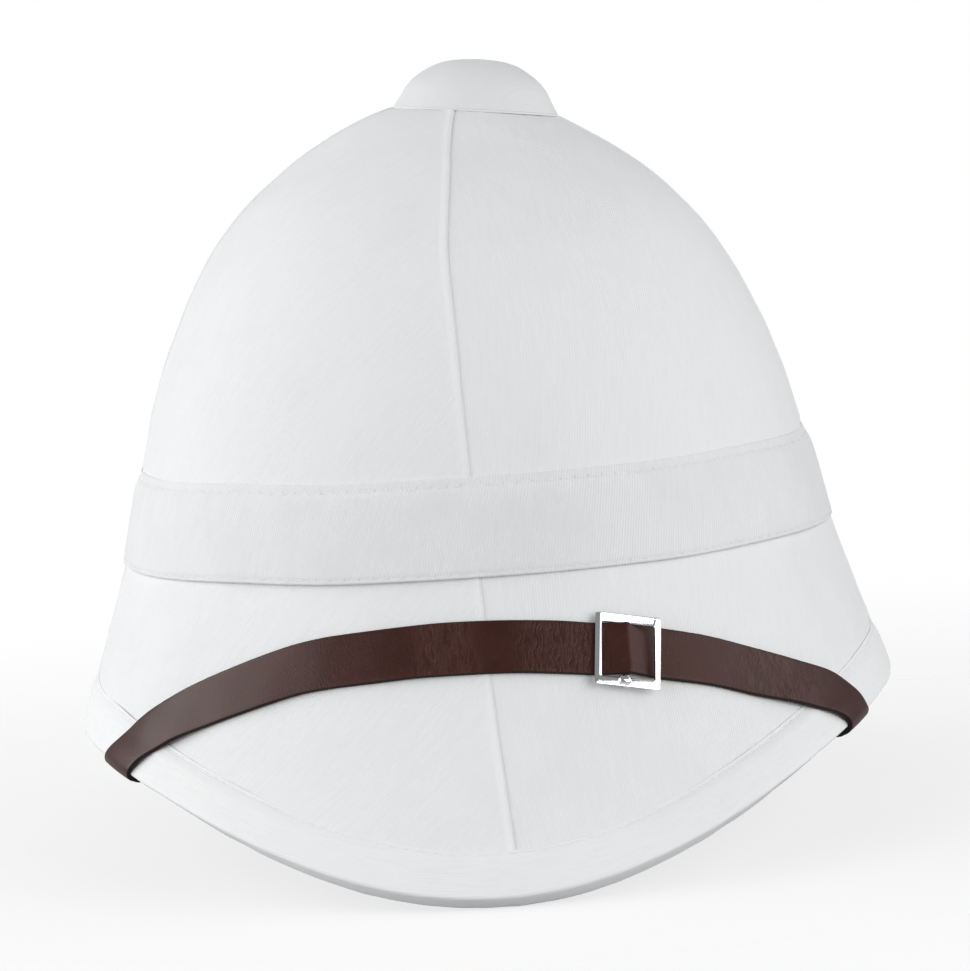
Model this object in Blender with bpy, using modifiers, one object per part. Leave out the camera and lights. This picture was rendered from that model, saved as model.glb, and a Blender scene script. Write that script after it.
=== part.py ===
"""White cloth-covered pith helmet: domed crown, drooping brim, hat band, ventilator cap, chin strap.

Metres, +Z up. The helmet stands on z = 0 by its front and rear edges, the front peak points along -Y,
and the origin is below the middle of its length and width. Angles round the helmet are in radians
from the middle of the front peak, positive towards +X.
"""

import math
from collections import namedtuple
from functools import lru_cache

import bmesh
import bpy
from mathutils import Matrix, Vector

# Driving dimensions, in metres ------------------------------------------------------------------

GAP = 0.0003  # clearance between pieces that touch

# Crown: outer sections from the apex down to the root of the brim. Each one is a level ellipse.
CrownSection = namedtuple("CrownSection", "half_width half_length height")
CROWN = (
    CrownSection(0.0000, 0.0000, 0.2142),
    CrownSection(0.0100, 0.0100, 0.2136),
    CrownSection(0.0200, 0.0202, 0.2116),
    CrownSection(0.0290, 0.0298, 0.2083),
    CrownSection(0.0380, 0.0400, 0.2034),
    CrownSection(0.0500, 0.0540, 0.1958),
    CrownSection(0.0620, 0.0685, 0.1859),
    CrownSection(0.0730, 0.0825, 0.1728),
    CrownSection(0.0820, 0.0945, 0.1582),
    CrownSection(0.0897, 0.1050, 0.1415),
    CrownSection(0.0955, 0.1130, 0.1244),
    CrownSection(0.0991, 0.1178, 0.1102),
    CrownSection(0.1025, 0.1220, 0.0964),
    CrownSection(0.1055, 0.1256, 0.0829),
)
BAND_TOP_ROW = 11  # the hat band covers the crown from this row down to the last one
WALL = 0.0044  # moulded shell with its cloth cover

# Brim: from the crown's last section out to the edge, measured on the shell's outer face.
BRIM_HALF_WIDTH = 0.1206
PEAK_REACH = 0.1760  # from the crown's centre to the front edge
REAR_REACH = 0.1840
EDGE_FOOT = 0.0047  # height of the edge line where the bound edge meets the floor
SIDE_RISE = 0.0334  # how much higher the edge is at the sides
PEAK_SWEEP = 3.25  # exponents of the edge's rise from the front and from the rear
REAR_SWEEP = 2.2
REAR_EASE = 1.4
REAR_FLAT = math.radians(10.0)  # the rear edge is level over this angle on each side
FLARE = 0.30  # how much the front and rear slope outwards towards the edge

# Bound edge
EDGE_RADIUS = 0.0012  # corners of the shell's edge
BINDING_WIDTH = 0.0125
BINDING_THICKNESS = 0.0009
INNER_BINDING_WIDTH = 0.0105

# Hat band
BAND_THICKNESS = 0.0012

# Ventilator cap: its axis leans towards +X, because it sits on the dome beside the apex.
CAP_CENTRE_X = 0.0083
CAP_BASE_HEIGHT = 0.2103
CAP_LEAN = math.radians(6.7)
CapSection = namedtuple("CapSection", "radius height")
CAP_OUTSIDE = (
    CapSection(0.0000, 0.0153),
    CapSection(0.0068, 0.0149),
    CapSection(0.0127, 0.0135),
    CapSection(0.0178, 0.0105),
    CapSection(0.0211, 0.0073),
    CapSection(0.0232, 0.0035),
    CapSection(0.0250, 0.0000),
)
CAP_WALL = 0.0018
NECK_RADIUS = 0.0105
NECK_BORE_RADIUS = 0.0090
NECK_DEPTH = 0.0035  # below the cap's rim
NECK_ROOT = 0.0010  # clear ring between the neck and the dome's inside, and the bore's rounded end

# Chin strap: its middle line, as the angle round the helmet and the distance round the brim's
# section from the middle of the edge. A positive run is on the outer face, a negative one inside.
RoutePoint = namedtuple("RoutePoint", "angle_deg run")
STRAP_ROUTE = (
    RoutePoint(-73.8, -0.0455),
    RoutePoint(-64.7, -0.0234),
    RoutePoint(-59.3, 0.0000),
    RoutePoint(-51.0, 0.0205),
    RoutePoint(-39.5, 0.0416),
    RoutePoint(-26.5, 0.0613),
    RoutePoint(-13.3, 0.0734),
    RoutePoint(-1.5, 0.0774),
    RoutePoint(9.5, 0.0740),
    RoutePoint(20.5, 0.0644),
    RoutePoint(31.3, 0.0508),
    RoutePoint(41.0, 0.0350),
    RoutePoint(50.0, 0.0181),
    RoutePoint(57.5, 0.0000),
    RoutePoint(63.1, -0.0252),
    RoutePoint(71.8, -0.0475),
)
STRAP_WIDTH = 0.0160
STRAP_THICKNESS = 0.0018
STRAP_EDGE_LIFT = 0.0018  # off the brim's wall where the strap goes round the bound edge
STRAP_EDGE_MARGIN = 0.0015  # beyond the binding before the strap comes down to the cloth
STRAP_EDGE_RAMP = 0.0110
STRAP_INNER_LIFT = 0.0006
STRAP_STEP = 0.0060
STRAP_FINE_STEP = 0.0014  # round the edge and through the buckle
SKEW_FLAT = 0.0090  # on each side of the edge, mesh rows lie along the edge
SKEW_RAMP = 0.0220  # and turn square to the strap over this length

# Slide buckle: a flat frame over the strap, and a lower bar across its middle that the strap
# passes over. Widths are along the strap and heights across it.
BUCKLE_ANGLE_DEG = 20.5
BUCKLE_WIDTH = 0.0185
BUCKLE_HEIGHT = 0.0217
BUCKLE_WINDOW_WIDTH = 0.0147
BUCKLE_WINDOW_HEIGHT = 0.0168
BUCKLE_BEVEL = 0.0009
BUCKLE_UNDERSIDE = 0.0025  # off the brim's wall
BUCKLE_TOP = 0.0046
BUCKLE_BAR_WIDTH = 0.0020
BUCKLE_BAR_UNDERSIDE = 0.0006
BUCKLE_BAR_TOP = 0.0019
STRAP_RISE = 0.0022  # extra lift of the strap over the bar
STRAP_RISE_REACH = 0.0060  # on each side of the bar

# Rivets that hold the strap's ends inside the brim
RIVET_INSET = 0.0090  # from the strap's end
RIVET_HEAD_RADIUS = 0.0045
RIVET_HEAD_THICKNESS = 0.0014
RIVET_SHANK_RADIUS = 0.0016
RIVET_HOLE_RADIUS = 0.0020
RIVET_DEPTH = 0.0026  # into the shell

# Cutters
THROUGH = 0.0200  # a cutter that goes right through reaches this far on each side
OVERRUN = 0.0020  # a blind hole's cutter starts this far outside the face

# Finishes
Finish = namedtuple("Finish", "name colour roughness metallic")
COVER_CLOTH = Finish("white cloth", (0.80, 0.81, 0.82), 0.9, 0.0)
BAND_CLOTH = Finish("white band cloth", (0.80, 0.81, 0.82), 0.9, 0.0)
BINDING_CLOTH = Finish("white binding cloth", (0.78, 0.79, 0.80), 0.9, 0.0)
CAP_CLOTH = Finish("white cap cloth", (0.78, 0.79, 0.80), 0.9, 0.0)
LEATHER = Finish("brown leather", (0.09, 0.04, 0.035), 0.45, 0.0)
CHROME = Finish("chrome", (0.80, 0.80, 0.82), 0.15, 1.0)
RIVET_METAL = Finish("rivet metal", (0.55, 0.55, 0.57), 0.3, 1.0)

# Fineness of the meshes
SEGMENTS = 60  # divisions round the helmet
RING_SPACING = 0.0105  # between the crown's rings
BRIM_RINGS = 5
CAP_SEGMENTS = 32
RIVET_SEGMENTS = 16
HOLE_SEGMENTS = 24
SHARP_ANGLE = math.radians(40.0)  # edges sharper than this stay sharp, or get bevelled
ANGLE_STEP = 1e-4  # for slopes
TABLE_STEP = 1e-3

EDGE_FLAT = WALL / 2 - EDGE_RADIUS
EDGE_ARC = math.pi / 2 * (EDGE_RADIUS + GAP + BINDING_THICKNESS)
HALF_TURN = EDGE_FLAT + EDGE_ARC
CROWN_Y = (PEAK_REACH - REAR_REACH) / 2


# Surfaces ---------------------------------------------------------------------------------------

def blend_rows(rows, position):
    """Columns of a table at a fractional row, on a smooth curve through the rows."""
    index = min(int(position), len(rows) - 2)
    t = position - index
    before, start, end, after = (rows[min(max(i, 0), len(rows) - 1)] for i in range(index - 1, index + 3))
    return tuple(
        0.5 * (2 * b + (c - a) * t + (2 * a - 5 * b + 4 * c - d) * t * t + (3 * b - a - 3 * c + d) * t ** 3)
        for a, b, c, d in zip(before, start, end, after)
    )


def crown_point(angle, position):
    """Outer point of the crown at a fractional row of its table."""
    half_width, half_length, height = blend_rows(CROWN, position)
    return Vector((half_width * math.sin(angle), CROWN_Y - half_length * math.cos(angle), height))


def edge_height(angle):
    """Height of the brim's edge line."""
    forward = math.cos(angle)
    if forward >= 0.0:
        return EDGE_FOOT + SIDE_RISE * (1.0 - forward ** PEAK_SWEEP)
    backward = min(1.0, -forward / math.cos(REAR_FLAT))
    return EDGE_FOOT + SIDE_RISE * (1.0 - backward ** REAR_SWEEP) ** REAR_EASE


def brim_point(angle, drop):
    """Outer point of the brim, where drop runs from 0 at the crown to 1 at the edge."""
    root = CROWN[-1]
    reach = PEAK_REACH if math.cos(angle) > 0.0 else REAR_REACH
    spread = drop * (1.0 - FLARE * abs(math.cos(angle)) * (1.0 - drop))
    half_width = root.half_width + (BRIM_HALF_WIDTH - root.half_width) * spread
    half_length = root.half_length + (reach - root.half_length) * spread
    height = root.height + (edge_height(angle) - root.height) * drop
    return Vector((half_width * math.sin(angle), CROWN_Y - half_length * math.cos(angle), height))


def surface_normal(surface, angle, position, step=ANGLE_STEP):
    """Outward unit normal of a surface given as a function of angle and position."""
    across = surface(angle + step, position) - surface(angle - step, position)
    down = surface(angle, position + step) - surface(angle, position - step)
    return down.cross(across).normalized()


@lru_cache(maxsize=None)
def brim_meridian(angle, samples=24):
    """Distance above the edge, up the outer face, at evenly spaced drops from the edge to the crown."""
    distances = [0.0]
    previous = brim_point(angle, 1.0)
    for i in range(1, samples + 1):
        point = brim_point(angle, 1.0 - i / samples)
        distances.append(distances[-1] + (point - previous).length)
        previous = point
    return distances


def drop_at(angle, distance):
    """Drop of the brim's outer point that lies a distance above the edge."""
    distances = brim_meridian(angle)
    last = len(distances) - 1
    for i in range(last):
        if distance <= distances[i + 1] or i == last - 1:
            part = (distance - distances[i]) / (distances[i + 1] - distances[i])
            return 1.0 - (i + part) / last


def edge_down(angle):
    """Unit vector down the wall at the edge, square to the edge line."""
    along_edge = brim_point(angle + ANGLE_STEP, 1.0) - brim_point(angle - ANGLE_STEP, 1.0)
    return along_edge.cross(surface_normal(brim_point, angle, 1.0)).normalized()


def skin_point(angle, run, lift):
    """Point at a lift off the brim's wall, at a run round its section from the middle of the edge."""
    side = 1.0 if run >= 0.0 else -1.0
    beyond = max(0.0, abs(run) - HALF_TURN)
    drop = drop_at(angle, beyond)
    normal = surface_normal(brim_point, angle, drop)
    middle = brim_point(angle, drop) - normal * (WALL / 2)
    if beyond > 0.0:
        return middle + normal * side * (WALL / 2 + lift)
    turn = max(0.0, abs(run) - EDGE_FLAT) / EDGE_ARC * math.pi / 2
    across = min(abs(run), EDGE_FLAT) + (EDGE_RADIUS + lift) * math.sin(turn)
    return middle + edge_down(angle) * (EDGE_RADIUS + lift) * math.cos(turn) + normal * side * across


# Mesh building ----------------------------------------------------------------------------------

def ring_angles():
    """Evenly spaced angles round the helmet."""
    return [2 * math.pi * i / SEGMENTS for i in range(SEGMENTS)]


def mesh_object(name, mesh, collection):
    """New object for a mesh, in a collection."""
    item = bpy.data.objects.new(name, mesh)
    collection.objects.link(item)
    return item


def lofted_mesh(name, rings, closed=True):
    """Quads between successive rows of points; a row of one point is a pole.

    Rows run from the top down and points anticlockwise seen from above, so faces point outwards.
    """
    grid = bmesh.new()
    rows = [[grid.verts.new(point) for point in ring] for ring in rings]
    for upper, lower in zip(rows, rows[1:]):
        count = max(len(upper), len(lower))
        for i in range(count if closed else count - 1):
            j = (i + 1) % count
            corners = [upper[0]] if len(upper) == 1 else [upper[j], upper[i]]
            grid.faces.new(corners + [lower[i], lower[j]])
    mesh = bpy.data.meshes.new(name)
    grid.to_mesh(mesh)
    grid.free()
    mesh.shade_smooth()
    mesh.set_sharp_from_angle(angle=SHARP_ANGLE)
    return mesh


def add_solidify(item, thickness, offset):
    """Give an open surface a wall. Offset -1 grows it inwards and +1 outwards."""
    wall = item.modifiers.new("Wall", "SOLIDIFY")
    wall.thickness = thickness
    wall.offset = offset
    wall.use_even_offset = True


def add_bevel(item, width, segments):
    """Round the sharp edges."""
    bevel = item.modifiers.new("Rounded edges", "BEVEL")
    bevel.width = width
    bevel.segments = segments
    bevel.limit_method = "ANGLE"
    bevel.angle_limit = SHARP_ANGLE


def add_boolean(item, other, operation):
    """Cut another object away, or join it on."""
    boolean = item.modifiers.new(operation.title() + " " + other.name, "BOOLEAN")
    boolean.operation = operation
    boolean.object = other


def add_material(item, finish):
    """Give an object a Principled material."""
    material = bpy.data.materials.get(finish.name) or bpy.data.materials.new(finish.name)
    material.use_nodes = True
    shader = material.node_tree.nodes["Principled BSDF"]
    shader.inputs["Base Color"].default_value = (*finish.colour, 1.0)
    shader.inputs["Roughness"].default_value = finish.roughness
    shader.inputs["Metallic"].default_value = finish.metallic
    item.data.materials.append(material)


def cylinder_object(name, radius, bottom, top, frame, collection, vertices=HOLE_SEGMENTS):
    """Cylinder along the third axis of a frame, between two heights in that frame."""
    solid = bmesh.new()
    bmesh.ops.create_cone(
        solid, cap_ends=True, segments=vertices, radius1=radius, radius2=radius, depth=top - bottom,
        matrix=Matrix.Translation((0.0, 0.0, (top + bottom) / 2)),
    )
    mesh = bpy.data.meshes.new(name)
    solid.to_mesh(mesh)
    solid.free()
    item = mesh_object(name, mesh, collection)
    item.matrix_world = frame
    return item


def box_object(name, low, high, frame, collection):
    """Box between two corners in a frame."""
    size = Vector(high) - Vector(low)
    middle = (Vector(high) + Vector(low)) / 2
    solid = bmesh.new()
    bmesh.ops.create_cube(solid, size=1.0, matrix=Matrix.Translation(middle) @ Matrix.Diagonal((*size, 1.0)))
    mesh = bpy.data.meshes.new(name)
    solid.to_mesh(mesh)
    solid.free()
    item = mesh_object(name, mesh, collection)
    item.matrix_world = frame
    return item


def turned_object(name, profile, frame, steps, collection):
    """Solid turned about the third axis of a frame, from radii and heights that run down its outside."""
    outline = bmesh.new()
    points = [outline.verts.new((radius, 0.0, height)) for radius, height in profile]
    for start, end in zip(points, points[1:]):
        outline.edges.new((start, end))
    mesh = bpy.data.meshes.new(name)
    outline.to_mesh(mesh)
    outline.free()
    item = mesh_object(name, mesh, collection)
    item.matrix_world = frame
    turn = item.modifiers.new("Turned profile", "SCREW")
    turn.steps = steps
    turn.render_steps = steps
    turn.use_merge_vertices = True
    turn.merge_threshold = 1e-5
    turn.use_smooth_shade = True
    return item


def as_cutter(item):
    """Show an object as a guide only."""
    item.hide_render = True
    item.display_type = "WIRE"
    return item


def axes_frame(origin, first, third):
    """Frame whose third axis is exact and whose first axis is as near as it can be."""
    z_axis = third.normalized()
    x_axis = (first - z_axis * first.dot(z_axis)).normalized()
    y_axis = z_axis.cross(x_axis)
    turn = Matrix((x_axis, y_axis, z_axis)).transposed().to_4x4()
    return Matrix.Translation(origin) @ turn


# Shell, band and binding --------------------------------------------------------------------------

def crown_ring(position, lift=0.0):
    """Ring of points round the crown, at a lift off its surface."""
    return [
        crown_point(angle, position) + surface_normal(crown_point, angle, position, TABLE_STEP) * lift
        for angle in ring_angles()
    ]


def crown_positions():
    """Fractional rows of the crown's rings, closer together where its sections are far apart."""
    positions = [1.0]
    for row in range(1, len(CROWN) - 1):
        length = (crown_point(math.pi / 2, row + 1) - crown_point(math.pi / 2, row)).length
        steps = max(1, round(length / RING_SPACING))
        positions += [row + (i + 1) / steps for i in range(steps)]
    return positions


def build_shell(parts, cutters):
    """Crown and brim in one moulded wall, with the ventilation hole and the rivets' holes."""
    rings = [[Vector((0.0, CROWN_Y, CROWN[0].height))]]
    rings += [crown_ring(position) for position in crown_positions()]
    for i in range(1, BRIM_RINGS + 1):
        rings.append([brim_point(angle, i / BRIM_RINGS) for angle in ring_angles()])
    rings.append([brim_point(angle, 1.0) + edge_down(angle) * EDGE_RADIUS for angle in ring_angles()])
    shell = mesh_object("helmet_shell", lofted_mesh("helmet_shell", rings), parts)
    add_solidify(shell, WALL, -1.0)
    add_bevel(shell, EDGE_RADIUS, 2)
    hole = cylinder_object("vent_hole", NECK_RADIUS + GAP, -THROUGH, THROUGH, cap_frame(), cutters)
    add_boolean(shell, as_cutter(hole), "DIFFERENCE")
    for side, frame in rivet_frames().items():
        bottom = -RIVET_DEPTH - GAP
        hole = cylinder_object("rivet_pocket_" + side, RIVET_HOLE_RADIUS, bottom, OVERRUN, frame, cutters)
        add_boolean(shell, as_cutter(hole), "DIFFERENCE")
    add_material(shell, COVER_CLOTH)


def build_band(parts):
    """Flat cloth band round the base of the crown."""
    rings = [crown_ring(position, GAP) for position in crown_positions() if position >= BAND_TOP_ROW]
    band = mesh_object("hat_band", lofted_mesh("hat_band", rings), parts)
    add_solidify(band, BAND_THICKNESS, 1.0)
    add_material(band, BAND_CLOTH)


def build_binding(parts):
    """Cloth strip folded over the brim's edge, a U in section."""
    runs = [
        HALF_TURN + BINDING_WIDTH,
        HALF_TURN,
        HALF_TURN - EDGE_ARC / 2,
        EDGE_FLAT,
        -EDGE_FLAT,
        -HALF_TURN + EDGE_ARC / 2,
        -HALF_TURN,
        -HALF_TURN - INNER_BINDING_WIDTH,
    ]
    rings = [[skin_point(angle, run, GAP) for angle in ring_angles()] for run in runs]
    binding = mesh_object("brim_binding", lofted_mesh("brim_binding", rings), parts)
    add_solidify(binding, BINDING_THICKNESS, 1.0)
    add_material(binding, BINDING_CLOTH)


# Ventilator cap -----------------------------------------------------------------------------------

def cap_frame():
    """Frame of the ventilator cap, on its axis at its rim."""
    turn = Matrix.Rotation(CAP_LEAN, 4, "Y")
    return Matrix.Translation((CAP_CENTRE_X, CROWN_Y, CAP_BASE_HEIGHT)) @ turn


def build_cap(parts):
    """Hollow domed cap with a neck that plugs into the crown's ventilation hole."""
    rim = CAP_OUTSIDE[-1].radius
    inside_scale = (rim - CAP_WALL) / rim
    inside_height = CAP_OUTSIDE[0].height - CAP_WALL
    inside = [
        CapSection(row.radius * inside_scale, row.height * inside_height / CAP_OUTSIDE[0].height)
        for row in reversed(CAP_OUTSIDE)
    ]
    under = [row for row in inside if row.radius > NECK_RADIUS + NECK_ROOT]
    neck = [
        CapSection(NECK_RADIUS, under[-1].height + GAP),
        CapSection(NECK_RADIUS, -NECK_DEPTH),
        CapSection(NECK_BORE_RADIUS, -NECK_DEPTH),
        CapSection(NECK_BORE_RADIUS, inside_height - NECK_ROOT),
        CapSection(0.0, inside_height),
    ]
    cap = turned_object("ventilator_cap", list(CAP_OUTSIDE) + under + neck, cap_frame(), CAP_SEGMENTS, parts)
    add_material(cap, CAP_CLOTH)


# Chin strap, buckle and rivets ----------------------------------------------------------------------

def strap_metric(angle, run):
    """Squares and product of the brim wall's steps per unit of angle and of run."""
    height = max(abs(run), HALF_TURN + ANGLE_STEP)
    step = TABLE_STEP
    around = (skin_point(angle + step, height, 0.0) - skin_point(angle - step, height, 0.0)) / (2 * step)
    upward = (skin_point(angle, height + step, 0.0) - skin_point(angle, height, 0.0)) / step
    side = max(-1.0, min(1.0, run / HALF_TURN))
    return around.length_squared, around.dot(upward) * side, upward.length_squared


def strap_line(position):
    """Angle and run of the strap's middle line, and their change for one metre across the strap."""
    last = len(STRAP_ROUTE) - 1
    angle_deg, run = blend_rows(STRAP_ROUTE, position)
    ahead = blend_rows(STRAP_ROUTE, min(position + TABLE_STEP, last))
    behind = blend_rows(STRAP_ROUTE, max(position - TABLE_STEP, 0.0))
    angle = math.radians(angle_deg)
    d_angle = math.radians(ahead[0] - behind[0])
    d_run = ahead[1] - behind[1]
    around, mixed, upward = strap_metric(angle, run)
    across_angle = -(mixed * d_angle + upward * d_run)
    across_run = around * d_angle + mixed * d_run
    length = math.sqrt(
        around * across_angle ** 2 + 2 * mixed * across_angle * across_run + upward * across_run ** 2)
    return angle, run, across_angle / length, across_run / length


def strap_lift(run, from_buckle):
    """Lift of the strap off the brim's wall: over the bound edge, and over the buckle's bar."""
    width, rest = (BINDING_WIDTH, GAP) if run > 0.0 else (INNER_BINDING_WIDTH, STRAP_INNER_LIFT)
    past_binding = (abs(run) - HALF_TURN - width - STRAP_EDGE_MARGIN) / STRAP_EDGE_RAMP
    fall = 0.5 - 0.5 * math.cos(math.pi * max(0.0, min(1.0, past_binding)))
    lift = STRAP_EDGE_LIFT + (rest - STRAP_EDGE_LIFT) * fall
    rise = math.cos(math.pi / 2 * min(1.0, abs(from_buckle) / STRAP_RISE_REACH)) ** 2
    return lift + STRAP_RISE * rise


@lru_cache(maxsize=None)
def strap_lengths(samples=30):
    """Positions along the route, and the distance along the strap at each one."""
    positions = [i / samples for i in range(samples * (len(STRAP_ROUTE) - 1) + 1)]
    lines = [strap_line(position) for position in positions]
    points = [skin_point(angle, run, strap_lift(run, 1.0)) for angle, run, _, _ in lines]
    distances = [0.0]
    for start, end in zip(points, points[1:]):
        distances.append(distances[-1] + (end - start).length)
    return positions, distances


def at_distance(wanted):
    """Position along the route at a distance from the strap's left end."""
    positions, distances = strap_lengths()
    wanted = max(0.0, min(wanted, distances[-1]))
    i = next(i for i in range(len(positions) - 1) if wanted <= distances[i + 1])
    part = (wanted - distances[i]) / (distances[i + 1] - distances[i])
    return positions[i] + part * (positions[i + 1] - positions[i])


@lru_cache(maxsize=None)
def edge_crossings():
    """Distances where the strap crosses the brim's edge, with the skew that lays a row along the edge."""
    positions, distances = strap_lengths()
    runs = [strap_line(position)[1] for position in positions]
    crossings = []
    for i in range(len(runs) - 1):
        if (runs[i] < 0.0) != (runs[i + 1] < 0.0):
            run_along = (runs[i + 1] - runs[i]) / (distances[i + 1] - distances[i])
            crossings.append((distances[i], -strap_line(positions[i])[3] / run_along))
    return crossings


def strap_skew(distance):
    """Shift along the strap, for one metre across it, of the mesh row at a distance."""
    skew = 0.0
    for crossing, edge_skew in edge_crossings():
        away = (abs(distance - crossing) - SKEW_FLAT) / SKEW_RAMP
        skew += edge_skew * (0.5 + 0.5 * math.cos(math.pi * max(0.0, min(1.0, away))))
    return skew


def strap_point(distance, across):
    """Point of the strap's underside, on the mesh row at a distance and at a distance across it."""
    along = distance + strap_skew(distance) * across
    angle, run, across_angle, across_run = strap_line(at_distance(along))
    angle += across_angle * across
    run += across_run * across
    return skin_point(angle, run, strap_lift(run, along - buckle_distance()))


@lru_cache(maxsize=None)
def buckle_distance():
    """Distance along the strap at the buckle's middle."""
    positions, distances = strap_lengths()
    away = [abs(blend_rows(STRAP_ROUTE, position)[0] - BUCKLE_ANGLE_DEG) for position in positions]
    return distances[away.index(min(away))]


def strap_frame(distance):
    """Frame on the brim's wall under the strap: along it, across it and off the wall."""
    angle, run, _, _ = strap_line(at_distance(distance))
    origin = skin_point(angle, run, 0.0)
    along = strap_point(distance + TABLE_STEP, 0.0) - strap_point(distance - TABLE_STEP, 0.0)
    return axes_frame(origin, along, skin_point(angle, run, STRAP_THICKNESS) - origin)


def strap_stations():
    """Distances along the strap of its mesh's rows, finer round the edge and through the buckle."""
    length = strap_lengths()[1][-1]
    middle = buckle_distance()
    stations = [0.0]
    while stations[-1] < length:
        bends = any(abs(stations[-1] - crossing) < SKEW_FLAT + STRAP_STEP for crossing, _ in edge_crossings())
        rises = abs(stations[-1] - middle) < STRAP_RISE_REACH + STRAP_STEP
        stations.append(stations[-1] + (STRAP_FINE_STEP if bends or rises else STRAP_STEP))
    stations[-1] = length
    return stations


def rivet_frames():
    """Frames of the rivets, on the brim's inner face and pointing into the hollow."""
    length = strap_lengths()[1][-1]
    return {"left": strap_frame(RIVET_INSET), "right": strap_frame(length - RIVET_INSET)}


def build_strap(parts, cutters):
    """Leather strap from rivet to rivet, over the peak and round the brim's edge on each side."""
    lines = [
        [strap_point(distance, across) for distance in strap_stations()]
        for across in (STRAP_WIDTH / 2, 0.0, -STRAP_WIDTH / 2)
    ]
    strap = mesh_object("chin_strap", lofted_mesh("chin_strap", lines, closed=False), parts)
    add_solidify(strap, STRAP_THICKNESS, 1.0)
    top = STRAP_INNER_LIFT + STRAP_THICKNESS + OVERRUN
    for side, frame in rivet_frames().items():
        hole = cylinder_object("strap_hole_" + side, RIVET_HOLE_RADIUS, -OVERRUN, top, frame, cutters)
        add_boolean(strap, as_cutter(hole), "DIFFERENCE")
    add_material(strap, LEATHER)


def build_buckle(parts, cutters):
    """Square slide buckle: a bevelled frame with a lower bar across its middle."""
    frame = strap_frame(buckle_distance())
    half = Vector((BUCKLE_WIDTH / 2, BUCKLE_HEIGHT / 2))
    window = Vector((BUCKLE_WINDOW_WIDTH / 2, BUCKLE_WINDOW_HEIGHT / 2))
    joint = (BUCKLE_UNDERSIDE + BUCKLE_TOP) / 2
    inset = BUCKLE_BEVEL / 2
    buckle = box_object(
        "strap_buckle", (-half.x, -half.y, BUCKLE_UNDERSIDE), (half.x, half.y, BUCKLE_TOP), frame, parts)
    opening = box_object(
        "buckle_window", (-window.x, -window.y, 0.0), (window.x, window.y, 2 * BUCKLE_TOP), frame, cutters)
    bar = box_object(
        "buckle_bar", (-BUCKLE_BAR_WIDTH / 2, inset - half.y, BUCKLE_BAR_UNDERSIDE),
        (BUCKLE_BAR_WIDTH / 2, half.y - inset, joint), frame, cutters)
    passage = box_object(
        "strap_passage", (-half.x, -window.y, BUCKLE_BAR_TOP), (half.x, window.y, 2 * BUCKLE_TOP),
        frame, cutters)
    add_boolean(buckle, as_cutter(opening), "DIFFERENCE")
    add_bevel(buckle, BUCKLE_BEVEL, 1)
    add_boolean(bar, as_cutter(passage), "DIFFERENCE")
    add_boolean(buckle, as_cutter(bar), "UNION")
    add_material(buckle, CHROME)


def build_rivets(parts):
    """Round-headed rivets through the strap's ends into the brim's wall."""
    head = STRAP_INNER_LIFT + STRAP_THICKNESS + GAP
    top = head + RIVET_HEAD_THICKNESS
    profile = (
        (0.0, top),
        (0.6 * RIVET_HEAD_RADIUS, top - 0.2 * RIVET_HEAD_THICKNESS),
        (RIVET_HEAD_RADIUS, top - 0.8 * RIVET_HEAD_THICKNESS),
        (RIVET_HEAD_RADIUS, head),
        (RIVET_SHANK_RADIUS, head),
        (RIVET_SHANK_RADIUS, -RIVET_DEPTH),
        (0.0, -RIVET_DEPTH),
    )
    for side, frame in rivet_frames().items():
        rivet = turned_object("strap_rivet_" + side, profile, frame, RIVET_SEGMENTS, parts)
        add_material(rivet, RIVET_METAL)


def remove_objects():
    """Start from an empty scene."""
    for item in list(bpy.data.objects):
        bpy.data.objects.remove(item, do_unlink=True)


def main():
    """Build every piece of the helmet."""
    remove_objects()
    parts = bpy.data.collections.new("pith_helmet")
    cutters = bpy.data.collections.new("cutters")
    for collection in (parts, cutters):
        bpy.context.scene.collection.children.link(collection)
    build_shell(parts, cutters)
    build_band(parts)
    build_binding(parts)
    build_cap(parts)
    build_strap(parts, cutters)
    build_buckle(parts, cutters)
    build_rivets(parts)


if __name__ == "__main__":
    main()
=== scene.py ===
"""Dressed model of a white pith helmet: cloth cover, band, bound edge, ventilator cap and chin strap.

Metres, +Z up, front towards -Y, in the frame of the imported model. Angles round the helmet are in
radians from the middle of the front peak, positive towards +X.
"""

from __future__ import annotations

import logging
import math
from dataclasses import dataclass, field
from enum import Enum
from functools import cached_property
from typing import Any, Callable, Mapping, Sequence

import bpy
import numpy as np
from bpy.types import ID, Material, Node, NodeSocket, NodeTree, Object
from mathutils import Euler, Matrix, Vector


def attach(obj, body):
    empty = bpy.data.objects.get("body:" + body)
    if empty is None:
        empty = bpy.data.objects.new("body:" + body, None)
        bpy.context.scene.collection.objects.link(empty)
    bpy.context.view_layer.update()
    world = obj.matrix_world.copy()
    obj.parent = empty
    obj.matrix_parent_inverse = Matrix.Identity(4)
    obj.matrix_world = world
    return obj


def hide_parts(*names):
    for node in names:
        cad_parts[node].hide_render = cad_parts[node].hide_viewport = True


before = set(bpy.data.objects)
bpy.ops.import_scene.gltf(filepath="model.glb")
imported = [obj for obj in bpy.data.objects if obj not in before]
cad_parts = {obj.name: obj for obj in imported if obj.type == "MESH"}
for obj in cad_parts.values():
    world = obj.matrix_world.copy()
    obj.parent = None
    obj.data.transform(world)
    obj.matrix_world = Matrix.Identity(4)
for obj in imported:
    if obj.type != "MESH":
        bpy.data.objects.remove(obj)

Array = np.ndarray
TwoArrays = tuple[Array, Array]
ThreeArrays = tuple[Array, Array, Array]
Surface = Callable[[Array, Array], Array]
Pair = tuple[float, float]
Triple = tuple[float, float, float]
LOG = logging.getLogger("pith_helmet")
MM = 1e-3
FAR_FROM_STITCHES = 50.0 * MM
PICTURE_SIZE = (970, 971)


# Small mathematics --------------------------------------------------------------------------------


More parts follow.
